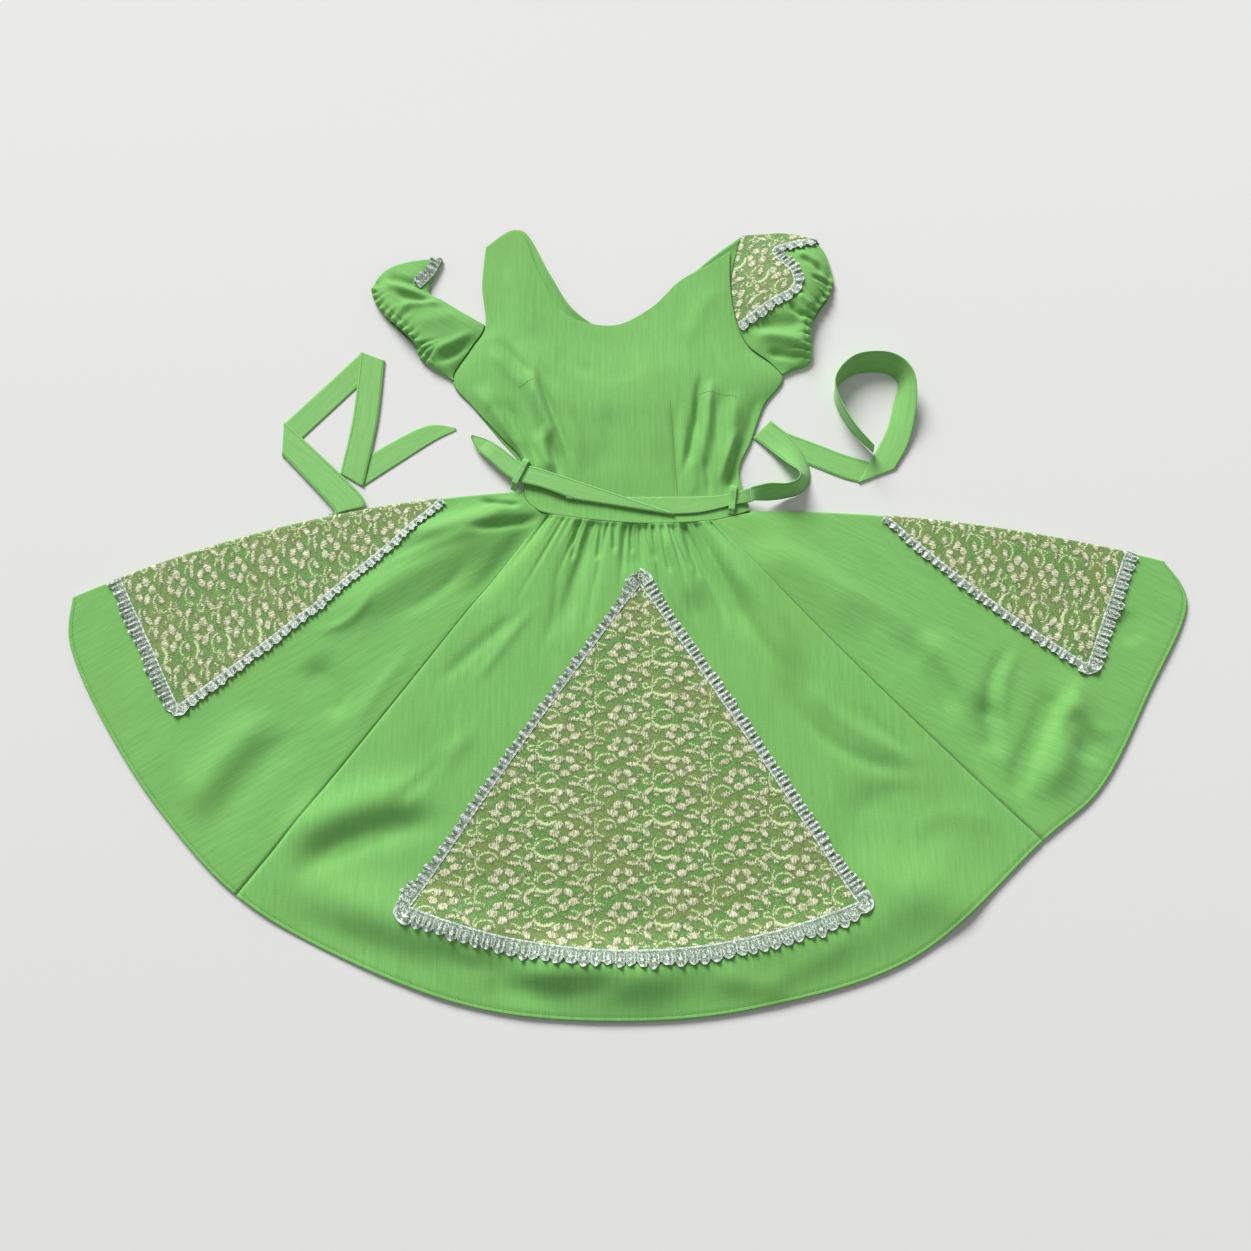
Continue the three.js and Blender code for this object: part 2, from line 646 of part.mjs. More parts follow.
// Lifts the edging off the cloth towards its outer rim, every other scallop more than the next
function ruffled(body, { station, count }) {
  const stations = Array.from({ length: count * 2 + 1 }, (_, k) => station(k / 2));
  const points = body.points.map(([x, y, z]) => {
    let best = Infinity;
    let nearest = 0;
    stations.forEach((place, k) => {
      const distance = Math.hypot(x - place.x, y - place.y);
      if (distance < best) {
        best = distance;
        nearest = k;
      }
    });
    const out = clamp((best - SEAM_GAP) / EDGING_PEAK, 0, 1);
    return [x, y, z + EDGING_LIFT * out * (nearest % 4 < 2 ? 1 : 0.4)];
  });
  return { points, faces: body.faces };
}

// Belt

// The highest point of the dress under a place in plan, read from the panels' own grids
function heightReader(panels) {
  const cells = [];
  for (const { grid } of panels) {
    for (let i = 0; i + 1 < grid.length; i += 1) {
      for (let j = 0; j + 1 < grid[i].length; j += 1) {
        const corners = [grid[i][j], grid[i][j + 1], grid[i + 1][j + 1], grid[i + 1][j]];
        cells.push([corners[0], corners[1], corners[2]], [corners[0], corners[2], corners[3]]);
      }
    }
  }
  return (x, y) => {
    let top = 0;
    for (const [a, b, c] of cells) {
      const area = (b[0] - a[0]) * (c[1] - a[1]) - (c[0] - a[0]) * (b[1] - a[1]);
      if (Math.abs(area) < 1e-6) continue;
      const s = ((x - a[0]) * (c[1] - a[1]) - (c[0] - a[0]) * (y - a[1])) / area;
      const t = ((b[0] - a[0]) * (y - a[1]) - (x - a[0]) * (b[1] - a[1])) / area;
      if (s < -0.01 || t < -0.01 || s + t > 1.01) continue;
      top = Math.max(top, a[2] + s * (b[2] - a[2]) + t * (c[2] - a[2]));
    }
    return top;
  };
}

// The way the belt runs at a station: towards its neighbours, but straight in and out of a fold
function heading(rows, k, part) {
  const before = rows[part === 'after' ? k : Math.max(k - 1, 0)];
  const after = rows[part === 'before' ? k : Math.min(k + 1, rows.length - 1)];
  return unit([after[0] - before[0], after[1] - before[1]]);
}

// Both rims of the belt at a station that isn't folded
function rimsAt([x, y, low, width, tilt, onDress], [ux, uy]) {
  const angle = THREE.MathUtils.degToRad(tilt);
  const halfPlan = (width / 2) * Math.cos(angle);
  const halfRise = (width / 2) * Math.sin(angle);
  const middle = low + CLOTH / 2 + Math.abs(halfRise);
  return [
    x - uy * halfPlan, y + ux * halfPlan, middle + halfRise,
    x + uy * halfPlan, y - ux * halfPlan, middle - halfRise, onDress,
  ];
}

// Both rims round a flat fold: in along the crease, over a half circle and out
function rimsRoundFold([x, y, low, width, , onDress, , lowAfter], wayIn, wayOut) {
  const crease = unit([wayIn[0] + wayOut[0], wayIn[1] + wayOut[1]]);
  const half = width / 2 / (crease[1] * wayIn[0] - crease[0] * wayIn[1]);
  const facing = Math.sign(crease[0] * wayIn[1] - crease[1] * wayIn[0]);
  const radius = Math.abs(lowAfter - low) / 2;
  return Array.from({ length: FOLD_STEPS + 1 }, (_, k) => {
    const angle = (Math.PI * k) / FOLD_STEPS;
    const reach = radius * Math.sin(angle) * facing;
    const z = mix(low, lowAfter, (1 - Math.cos(angle)) / 2) + CLOTH / 2;
    const middleX = x - crease[1] * reach;
    const middleY = y + crease[0] * reach;
    return [
      middleX + crease[0] * half, middleY + crease[1] * half, z,
      middleX - crease[0] * half, middleY - crease[1] * half, z, onDress,
    ];
  });
}

const swapped = ([ax, ay, az, bx, by, bz, onDress]) => [bx, by, bz, ax, ay, az, onDress];

// All cross lines of a stretch of the belt: smooth between folds. The left rim of the turned-over belt is
// on its other side in plan
function beltLines(rows) {
  const lines = [];
  let section = [];
  let turned = false;
  const close = () => {
    for (let place = 0; place <= (section.length - 1) * BELT_STEPS; place += 1) {
      lines.push(along(section, place / BELT_STEPS));
    }
  };
  rows.forEach((row, k) => {
    if (row[6] === 0) {
      const rims = rimsAt(row, heading(rows, k));
      section.push(turned ? swapped(rims) : rims);
      return;
    }
    const round = rimsRoundFold(row, heading(rows, k, 'before'), heading(rows, k, 'after'));
    const turns = turned ? round.map(swapped) : round;
    section.push(turns[0]);
    close();
    lines.push(...turns.slice(1, -1));
    section = [turns.at(-1)];
    turned = !turned;
  });
  close();
  return lines;
}

function beltGrid(rows, dressTop) {
  const lines = beltLines(rows);
  const tops = lines.map(([ax, ay, , bx, by, , onDress]) => {
    if (onDress < 0.5) return 0;
    const places = [0, 0.2, 0.4, 0.6, 0.8, 1];
    return Math.max(...places.map((t) => dressTop(mix(ax, bx, t), mix(ay, by, t))));
  });
  return lines.map(([ax, ay, az, bx, by, bz], k) => {
    const top = Math.max(...tops.slice(Math.max(k - 1, 0), k + 2));
    return [[ax, ay, az + top], [bx, by, bz + top]];
  });
}

// Starts a stretch where the one before it ends
function joined(before, grid) {
  const [[fromLeft, fromRight], [left, right]] = before.slice(-2);
  const step = unit([left[0] + right[0] - fromLeft[0] - fromRight[0], left[1] + right[1] - fromLeft[1] - fromRight[1]]);
  const next = ([x, y, z]) => [x + step[0] * JOIN_GAP, y + step[1] * JOIN_GAP, z];
  return [[next(left), next(right)], ...grid];
}

const ribbon = (grid) => wall(moved(grid, CLOTH / 2), moved(grid, -CLOTH / 2));

// A loop over the belt: flat on the cloth at both ends and arched over the belt between them
function loopGrid([fromX, fromY, toX, toY], beltTop, dressTop) {
  const [ux, uy] = unit([toX - fromX, toY - fromY]);
  const foot = 0.06;
  const place = (t, side) => [
    mix(fromX, toX, t) - uy * LOOP_HALF * side,
    mix(fromY, toY, t) + ux * LOOP_HALF * side,
  ];
  return [0, foot, 0.14, 0.3, 0.5, 0.7, 0.86, 1 - foot, 1].map((t) => {
    const reader = Math.min(t, 1 - t) <= foot ? dressTop : beltTop;
    const near = [-0.18, -0.12, -0.06, 0, 0.06, 0.12, 0.18].map((shift) => clamp(t + shift, 0, 1));
    const tops = near.flatMap((u) => [-1, 0, 1].map((side) => reader(...place(u, side))));
    const z = Math.max(...tops) + LOOP_EASE + CLOTH / 2;
    return [[...place(t, 1), z], [...place(t, -1), z]];
  });
}

const group = new THREE.Group();
export default group;

function add(name, body, colour, roughness) {
  const shape = geometry(facingOut(body));
  shape.computeVertexNormals();
  const material = new THREE.MeshStandardMaterial({ color: colour, roughness, metalness: 0 });
  const mesh = new THREE.Mesh(shape, material);
  mesh.name = name;
  group.add(mesh);
}

const panels = {
  skirt_front: frontGore(),
  skirt_side_left: sideGore(LEFT_SEAM, LEFT_FOLD),
  skirt_side_right: sideGore(RIGHT_SEAM, RIGHT_FOLD),
  skirt_back: backGore(),
  bodice_front: bodiceFront(),
  bodice_back: bodiceBack(),
  sleeve_left: sleeveTube(SLEEVES.left),
  sleeve_right: sleeveTube(SLEEVES.right),
};
for (const [name, { grid, wraps }] of Object.entries(panels)) {
  add(name, wall(grid, moved(grid, -CLOTH, wraps), wraps), COLOURS.cotton, 0.85);
}

// Lace triangles with their edging: the front one whole, the side ones on the upper half of their gore
const frontRim = rimStations(triangleRim(LACE_FRONT), FRONT_SCALLOPS, true);
const frontOutlines = edgingOutlines(frontRim, true);
add('lace_front', laidOn(panels.skirt_front, frontOutlines.lace), COLOURS.lace, 0.9);
const frontEdging = laidOn(panels.skirt_front, frontOutlines.outer, frontOutlines.inner);
add('edging_front', ruffled(frontEdging, frontRim), COLOURS.edging, 0.8);

for (const [side, corners] of Object.entries({ left: LACE_LEFT, right: LACE_RIGHT })) {
  const panel = panels[`skirt_side_${side}`];
  const rim = rimStations(openRim(corners), SIDE_SCALLOPS, false);
  const { lace, inner, outer } = edgingOutlines(rim, false);
  add(`lace_side_${side}`, laidOn(panel, lace, null, FOLD_WRAP), COLOURS.lace, 0.9);
  const edging = laidOn(panel, [...inner, ...outer.toReversed()], null, FOLD_WRAP);
  add(`edging_side_${side}`, ruffled(edging, rim), COLOURS.edging, 0.8);
}

// Lace cap and edging of the sleeves
const capRim = rimStations(SLEEVE_RIM, SLEEVE_SCALLOPS.right, false);
const capOutlines = edgingOutlines(capRim, false);
const capLace = [...capOutlines.lace, ...SLEEVE_LACE_BACK];
add('sleeve_lace_right', laidOn(panels.sleeve_right, capLace, null, FOLD_WRAP), COLOURS.lace, 0.9);
const capRing = [...capOutlines.inner, ...capOutlines.outer.toReversed()];
const capEdging = laidOn(panels.sleeve_right, capRing, null, FOLD_WRAP);
add('sleeve_edging_right', ruffled(capEdging, capRim), COLOURS.edging, 0.8);

const tipRim = rimStations(SLEEVE_TIP_RIM, SLEEVE_SCALLOPS.left, false);
const tipOutlines = edgingOutlines(tipRim, false);
const tipRing = [...tipOutlines.inner, ...tipOutlines.outer.toReversed()];
const tipEdging = laidOn(panels.sleeve_left, tipRing, null, FOLD_WRAP);
add('sleeve_edging_left', ruffled(tipEdging, tipRim), COLOURS.edging, 0.8);

// Belt and its loops
const upper = [panels.bodice_front, panels.skirt_front, panels.skirt_side_left, panels.skirt_side_right];
const dressTop = heightReader(upper);
const sash = beltGrid(SASH_FRONT, dressTop);
const beltTop = heightReader([...upper, { grid: moved(sash, CLOTH / 2) }, { grid: moved(sash, -CLOTH / 2) }]);
const belt = {
  sash_front: sash,
  sash_turn: joined(sash, beltGrid(SASH_TURN, dressTop)),
  tie_left: beltGrid(TIE_LEFT, dressTop),
  tie_right: beltGrid(TIE_RIGHT, dressTop),
  belt_loop_left: loopGrid(LOOP_LEFT, beltTop, dressTop),
  belt_loop_right: loopGrid(LOOP_RIGHT, beltTop, dressTop),
};
for (const [name, grid] of Object.entries(belt)) add(name, ribbon(grid), COLOURS.cotton, 0.85);
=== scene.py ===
# %% [markdown]
# # A square dance dress, laid flat
#
# The dress lies on its back with the front up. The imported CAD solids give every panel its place. This file
# makes each panel again as a thin sheet with finer folds, then adds the lace, the white gathered edging,
# the sewing and the weave. Lengths in the tables are millimetres, and each mesh is turned to metres as it
# is made.

import math

import bpy
import numpy as np
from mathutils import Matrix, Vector


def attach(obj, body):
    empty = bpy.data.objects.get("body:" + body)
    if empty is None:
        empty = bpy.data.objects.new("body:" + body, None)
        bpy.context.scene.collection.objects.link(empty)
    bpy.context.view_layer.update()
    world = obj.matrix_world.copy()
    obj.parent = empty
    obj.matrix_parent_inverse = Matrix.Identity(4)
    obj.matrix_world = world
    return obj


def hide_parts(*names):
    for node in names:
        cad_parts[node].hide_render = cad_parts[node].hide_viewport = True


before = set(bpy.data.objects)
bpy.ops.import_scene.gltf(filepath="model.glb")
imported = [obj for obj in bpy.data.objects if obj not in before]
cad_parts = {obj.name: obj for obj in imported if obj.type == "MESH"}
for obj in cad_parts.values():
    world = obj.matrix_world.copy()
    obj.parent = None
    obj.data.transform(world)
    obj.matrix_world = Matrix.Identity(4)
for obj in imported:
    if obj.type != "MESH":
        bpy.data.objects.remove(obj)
bpy.context.view_layer.update()

# %% [markdown]
# ## Camera
#
# The photograph was taken from above, with the camera leaning 18 degrees towards the neck. The image is
# square, 1251 pixels a side, and its focal length is about 1300 pixels. A lens in millimetres follows from
# the width of the sensor.

# %% Camera
IMAGE = 1251
FOCAL = 1300
SENSOR = 36.0
CAMERA_PLACE = (-0.003, -0.549, 1.535)
CAMERA_LEAN = math.radians(18)

camera_data = bpy.data.cameras.new("camera")
camera_data.sensor_width = SENSOR
camera_data.lens = SENSOR * FOCAL / IMAGE
camera = bpy.data.objects.new("camera", camera_data)
camera.location = CAMERA_PLACE
camera.rotation_euler = (CAMERA_LEAN, 0, 0)
bpy.context.scene.collection.objects.link(camera)
bpy.context.scene.camera = camera
print("lens", round(camera_data.lens, 2), "mm")

# %% [markdown]
# ## Curves through table rows
#
# Every outline of the dress is a short table of points. A smooth curve through such a row of points is a
# cubic between each two of them, whose slope at a point is half the step between its neighbours. Whole
# arrays of places are worked out at once.


# %% Curves
def through(rows, place):
    """Start, end and the two slopes of each stretch, weighed by the four cubic weights of the place in it."""
    rows = np.asarray(rows, float)
    place = np.asarray(place, float)
    row = np.clip(np.floor(place).astype(int), 0, len(rows) - 2)
    t = (place - row)[..., None]
    start, end = rows[row], rows[row + 1]
    pull = (end - rows[np.maximum(row - 1, 0)]) / 2
    push = (rows[np.minimum(row + 2, len(rows) - 1)] - start) / 2
    return (
        start * (1 + 2 * t) * (1 - t) ** 2
        + pull * t * (1 - t) ** 2
        + end * t * t * (3 - 2 * t)
        + push * t * t * (t - 1)
    )


def shared(rows, t):
    """The curve at a share t of its way, 0 to 1."""
    return through(rows, np.asarray(t, float) * (len(rows) - 1))


def ease(value):
    """Three t squared minus two t cubed, so that it starts and ends level."""
    t = np.clip(value, 0, 1)
    return t * t * (3 - 2 * t)


def mix(a, b, t):
    """a plus the share t of the way to b."""
    return a + (b - a) * t


def unit(way):
    """A direction, or each one of a grid of directions, divided by its own length."""
    way = np.asarray(way, float)
    return way / np.linalg.norm(way, axis=-1, keepdims=True)


def run_of(line):
    """How far along a row of points each of them is, from the lengths of the steps between them."""
    return np.r_[0, np.cumsum(np.linalg.norm(np.diff(line, axis=0), axis=1))]


def respaced(line, spacing):
    """A row of points in plan as points at an even spacing, with their distance along it."""
    run = run_of(line)
    even = np.linspace(0, run[-1], int(run[-1] / spacing) + 1)
    return np.stack([np.interp(even, run, line[:, k]) for k in (0, 1)], -1), even


def patch(bottom, top, left, right, u, v):
    """Sides mixed across, plus how far the bottom and top curves leave their chords, fading inwards."""
    bottom, top, left, right = (np.asarray(rows, float) for rows in (bottom, top, left, right))
    u1, v1 = np.asarray(u, float)[..., None], np.asarray(v, float)[..., None]
    low_chord = mix(bottom[0], bottom[-1], u1)
    high_chord = mix(top[0], top[-1], u1)
    side_chord = mix(mix(left[0], left[-1], v1), mix(right[0], right[-1], v1), u1)
    return (
        mix(shared(left, v), shared(right, v), u1)
        + mix(low_chord, high_chord, v1)
        - side_chord
        + (shared(bottom, u) - low_chord) * (1 - v1) ** 3
        + (shared(top, u) - high_chord) * np.abs(v1) ** 1.5
    )


print("half way along a corner of three points:", shared([[0, 0], [1, 0], [1, 1]], 0.5))

# %% [markdown]
# ## Folds
#
# Cloth that lies flat still keeps soft ridges and troughs. Each one is a row of a table: where it starts
# and ends, how far its middle bends to its left, half its width and its height, which is negative in a
# trough. The cross section is a bell curve, and both ends fade out.


# %% Folds
def folds(table, x, y, fade=0.3):
    """Height times a bell curve of the distance from the bent line, times a soft start and a soft end."""
    height = np.zeros_like(x)
    for from_x, from_y, to_x, to_y, bend, half_width, rise in table:
        length = math.hypot(to_x - from_x, to_y - from_y)
        ux, uy = (to_x - from_x) / length, (to_y - from_y) / length
        t = ((x - from_x) * ux + (y - from_y) * uy) / length
        off = (y - from_y) * ux - (x - from_x) * uy - 4 * bend * t * (1 - t)
        height += rise * np.exp(-((off / half_width) ** 2)) * ease(t / fade) * ease((1 - t) / fade)
    return height


def ripple(x, y, size, seed):
    """Sum of five sine waves in different directions, whose lengths are near the given size."""
    draw = np.random.default_rng(seed)
    total = np.zeros_like(x)
    for _ in range(5):
        way = draw.uniform(0, math.pi)
        length = size * draw.uniform(0.7, 1.5)
        phase = draw.uniform(0, 2 * math.pi)
        total += np.sin(2 * math.pi * (x * math.cos(way) + y * math.sin(way)) / length + phase)
    return total / 5


trough = folds([[0, 0, 100, 0, 0, 10, -4]], np.array([50.0]), np.array([0.0]))
print("a trough of 4 mm at its middle:", trough)

# %% [markdown]
# ## From a grid of points to a mesh
#
# A surface is a grid of points: rows one way, columns the other. Neighbouring points make the quads. Seen
# from outside, the columns run against the clock, so the faces point out. The cut of the cloth goes with it
# as a UV map in metres, along the grain, which is what the weave reads.

# %% Meshes
MM = 0.001
CLOTH = 0.6


def quads_of(rows, columns, wraps=False):
    """Corner numbers of every cell: this point, the next column, both a row on, the next row."""
    i, j = np.meshgrid(np.arange(rows - 1), np.arange(columns if wraps else columns - 1), indexing="ij")
    k = (j + 1) % columns
    here, after = i * columns, (i + 1) * columns
    return np.stack([here + j, here + k, after + k, after + j], -1).reshape(-1, 4)


def normals_of(grid):
    """Cross product of the steps across and along each point, made one unit long."""
    normal = np.cross(np.gradient(grid, axis=1), np.gradient(grid, axis=0))
    return normal / np.maximum(np.linalg.norm(normal, axis=-1, keepdims=True), 1e-9)


def piece(name, points, quads, uv, material, nodes=(), marks=None, thickness=CLOTH):
    """Points in millimetres and quads become a mesh that rides on the frame and stands for CAD nodes."""
    mesh = bpy.data.meshes.new(name)
    points = np.asarray(points, float).reshape(-1, 3)
    mesh.vertices.add(len(points))
    mesh.vertices.foreach_set("co", (points * MM).astype(np.float32).ravel())
    mesh.loops.add(quads.size)
    mesh.loops.foreach_set("vertex_index", quads.astype(np.int32).ravel())
    mesh.polygons.add(len(quads))
    mesh.polygons.foreach_set("loop_start", np.arange(0, quads.size, 4, dtype=np.int32))
    mesh.polygons.foreach_set("use_smooth", np.ones(len(quads), bool))
    layer = mesh.uv_layers.new(name="cut")
    corners = np.asarray(uv).reshape(-1, 2)[quads.ravel()] * MM
    layer.data.foreach_set("uv", corners.astype(np.float32).ravel())
    for mark, values in (marks or {}).items():
        attribute = mesh.attributes.new(mark, "FLOAT", "POINT")
        attribute.data.foreach_set("value", np.asarray(values, np.float32).ravel())
    mesh.update(calc_edges=True)
    mesh.validate()
    mesh.materials.append(material)
    made = bpy.data.objects.new(name, mesh)
    bpy.context.scene.collection.objects.link(made)
    if thickness:
        wall = made.modifiers.new("wall", "SOLIDIFY")
        wall.thickness = thickness * MM
        wall.offset = -1
    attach(made, "root")
    if nodes:
        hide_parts(*nodes)
    return made


def flat_area(grid, quads):
    """Half the length of the cross product of the diagonals of each quad, added up, in square metres."""
    corner = np.asarray(grid).reshape(-1, 3)[quads]
    cross = np.cross(corner[:, 2] - corner[:, 0], corner[:, 3] - corner[:, 1])
    return np.linalg.norm(cross, axis=1).sum() / 2 * MM * MM


def turned(x, y, degrees):
    """Plan turned so that the grain, which runs at that angle from X, becomes the second coordinate."""
    a = math.radians(degrees - 90)
    return np.stack([x * math.cos(a) + y * math.sin(a), y * math.cos(a) - x * math.sin(a)], -1)


print("a grid of 3 by 3 points has", len(quads_of(3, 3)), "quads")

# %% [markdown]
# ## Tools for the materials
#
# The three cloths of the dress are drawn by small trees of nodes that read the cut of a piece. Each tool
# adds one step of such a tree. A photograph of cloth would be quicker, but it would carry its own light,
# and it could not follow the grain of each panel.


# %% Material tools
def add_node(tree, kind, sockets=None, **settings):
    """One node. A socket of another node given as a value becomes a link."""
    made = tree.nodes.new(kind)
    for key, value in settings.items():
        setattr(made, key, value)
    for key, value in (sockets or {}).items():
        if isinstance(value, bpy.types.NodeSocket):
            tree.links.new(value, made.inputs[key])
        else:
            made.inputs[key].default_value = value
    return made


def linear(red, green, blue):
    """A screen colour of 0 to 255 as the light it stands for, with full alpha."""
    shares = (red / 255, green / 255, blue / 255)
    return tuple(s / 12.92 if s < 0.0404 else ((s + 0.055) / 1.055) ** 2.4 for s in shares) + (1,)


def streaks(tree, cut, across, along, detail=2.0):
    """Noise with so many changes in a metre across the grain and along it."""
    scaled = add_node(tree, "ShaderNodeMapping", {"Vector": cut, "Scale": (across, along, 1.0)})
    sockets = {"Vector": scaled.outputs[0], "Scale": 1.0, "Detail": detail}
    return add_node(tree, "ShaderNodeTexNoise", sockets).outputs[0]


def blend(tree, kind, factor, first, second):
    """Two colours mixed by a factor in one of the mixing ways."""
    sockets = {0: factor, 6: first, 7: second}
    return add_node(tree, "ShaderNodeMix", sockets, data_type="RGBA", blend_type=kind).outputs[2]


def spread(tree, value, low, high, to_low=0.0, to_high=1.0):
    """A value between two limits carried over to two others, and held there outside."""
    made = add_node(tree, "ShaderNodeMapRange", {0: value, 1: low, 2: high, 3: to_low, 4: to_high})
    return made.outputs[0]


def sum_of(tree, first, second, way="ADD"):
    """Two numbers put together by one piece of arithmetic."""
    return add_node(tree, "ShaderNodeMath", {0: first, 1: second}, operation=way).outputs[0]


def start_material(name, roughness, sheen):
    """A material with its shader and the cut of the piece."""
    material = bpy.data.materials.new(name)
    material.use_nodes = True
    tree = material.node_tree
    shader = tree.nodes["Principled BSDF"]
    shader.inputs["Roughness"].default_value = roughness
    shader.inputs["Specular IOR Level"].default_value = 0.25
    shader.inputs["Sheen Weight"].default_value = sheen
    shader.inputs["Sheen Roughness"].default_value = 0.45
    cut = add_node(tree, "ShaderNodeUVMap", uv_map="cut")
    return material, tree, shader, cut.outputs[0]


def finish_material(tree, shader, colour, relief, strength, depth):
    """The colour goes to the shader, and the relief as a bump of so many metres."""
    bump = add_node(tree, "ShaderNodeBump", {"Height": relief, "Strength": strength, "Distance": depth})
    tree.links.new(colour, shader.inputs["Base Color"])
    tree.links.new(bump.outputs[0], shader.inputs["Normal"])


print("white as light:", linear(255, 255, 255), "mid grey as light:", round(linear(128, 128, 128)[0], 3))

# %% [markdown]
# ## The cotton
#
# The cloth is a light cotton with slubs: short thicker bits of yarn that show as fine streaks along the
# grain. Noise stretched along the second coordinate of the cut makes them. A finer, weaker noise the other
# way is the weft, and a slow noise shifts the colour a little over the panel. The same streaks drive a
# small bump. The belt is the same cloth pressed flat, which looks a little lighter.

# %% Cotton
COTTON_LIGHT = linear(126, 189, 105)
COTTON_DARK = linear(112, 176, 90)
COTTON_YELLOW = linear(126, 182, 90)


def cotton(name, light=COTTON_LIGHT, dark=COTTON_DARK):
    """Streaks along the grain choose between two greens, slow noise warms them, and weft crosses them."""
    material, tree, shader, cut = start_material(name, 0.82, 0.25)
    fine = streaks(tree, cut, 900, 55, 3.0)
    slub = streaks(tree, cut, 260, 14)
    weft = streaks(tree, cut, 90, 1100)
    slow = streaks(tree, cut, 7, 5)
    both = sum_of(tree, fine, slub)
    body = blend(tree, "MIX", spread(tree, both, 0.72, 1.3), dark, light)
    crossed = blend(tree, "MULTIPLY", spread(tree, weft, 0.35, 0.75, 0.0, 0.16), body, linear(196, 214, 186))
    warmed = blend(tree, "MIX", spread(tree, slow, 0.45, 0.7, 0.0, 0.35), crossed, COTTON_YELLOW)
    finish_material(tree, shader, warmed, sum_of(tree, both, weft), 0.35, 0.0004)
    return material


skirt_cotton = cotton("slub_cotton")
belt_cotton = cotton("pressed_cotton", linear(140, 200, 119), linear(124, 187, 103))


def cotton_panel(node, grid, cut, wraps=False):
    """A grid of cotton under the name of the CAD node that it stands for."""
    quads = quads_of(*grid.shape[:2], wraps=wraps)
    made = piece(f"{node}_cloth", grid, quads, cut, skirt_cotton, [node])
    print(node, "area as laid", round(flat_area(grid, quads), 3), "m2,", 2 * len(quads), "triangles")
    return made


print("cotton uses", len(skirt_cotton.node_tree.nodes), "nodes")

# %% [markdown]
# ## Skirt
#
# The skirt is most of a circle. Rays run from the waist to the hem, and every point of it is a place
# between two rays and a share of the way down. Heights start from a low dome, then the folds and the
# gathers of the waist are added. The front gore is one grid. A side gore goes on round its fold and comes
# back underneath.

# %% Skirt tables
EDGE_TOP = 3.2
WAIST_TOP = 10.5
WAIST_MIDDLE = 12
WAIST_HALF = 150
HEM_TOP = 4.2
SKIRT_PUFF = 4
LOWEST_TOP = 2.6
SEAM = 0.02
HEM_LINE = 5
HEM_ROLL = 10

# waistX, waistY, hemX, hemY, bow
SKIRT_RAYS = [
    [-133, 129, -693, -14, -27],
    [-131, 121, -688, -76, -18],
    [-127, 113, -637, -171, -10],
    [-118, 105, -556, -281, -4],
    [-106, 98, -455, -381, 3],
    [-70, 91, -331, -450, 4],
    [-33, 86, -175, -506, 0],
    [5, 83, -12, -521, 0],
    [42, 82, 150, -506, 0],
    [78, 84, 330, -450, -4],
    [110, 87, 488, -318, -6],
    [122, 90, 566, -252, -4],
    [134, 94, 638, -133, 4],
    [146, 98, 696, -25, 12],
    [156, 102, 676, 34, 17],
]
LEFT_FOLD, LEFT_SEAM, RIGHT_SEAM, RIGHT_FOLD = 0, 4, 10, 14
print(len(SKIRT_RAYS), "rays, at the waist from", SKIRT_RAYS[LEFT_FOLD][:2], "to", SKIRT_RAYS[RIGHT_FOLD][:2])

# %% [markdown]
# ## Folds of the skirt
#
# The folds were judged from the photograph one by one: a light band beside a dark one is a ridge beside a
# trough. Noise could have made folds as well, but not these ones in these places. The large ones come first,
# then the finer ones between them, then the sharp creases of the gathered waist.

# %% Skirt folds
# Depth and length of each gather of the front gore
GATHERS = [
    [3.2, 60], [2.4, 85], [3.6, 55], [3.2, 95], [2.4, 70], [3.8, 60],
    [3.0, 110], [3.8, 75], [2.6, 120], [3.6, 90], [3.0, 130], [2.2, 60],
]

# fromX, fromY, toX, toY, bend, halfWidth, height
SKIRT_FOLDS = [
    [-118, 116, -300, 60, 4, 16, 9],
    [-120, 100, -384, -64, -10, 24, 7],
    [-100, 112, -205, -30, 2, 13, -5],
    [-503, -315, -397, -176, 10, 26, -3.5],
    [-520, -300, -420, -160, 12, 24, 6],
    [-402, -366, -205, -296, 18, 17, -5],
    [-420, -330, -215, -262, 18, 24, 9],
    [-396, -94, -343, -172, 6, 22, -4],
    [-430, -388, -60, -462, -22, 22, -4],
    [-400, -360, -80, -420, -20, 30, 5],
    [-176, -476, 16, -468, -16, 13, -4],
    [-36, 93, -88, -75, 0, 15, -4],
    [2, 90, 6, 10, 0, 13, -3.5],
    [34, 90, 88, -40, 3, 15, 6],
    [66, 92, 152, -78, 6, 15, -5],
    [90, 92, 214, -140, 8, 20, 8],
    [145, 60, 300, -60, 8, 26, 5],
    [444, -146, 432, -222, 0, 16, -4],
    [524, -120, 452, -272, 6, 16, -5.5],
    [552, -110, 484, -276, 8, 22, 9],
    [536, -156, 562, -222, -4, 14, -4],
    [355, -58, 432, -170, 8, 18, 6],
    [330, -60, 404, -176, 8, 18, -4],
    [612, -30, 624, -76, 0, 14, -3],
    [255, -250, 440, -372, 12, 40, -3.5],
    [250, -330, 430, -410, -10, 30, 5],
]

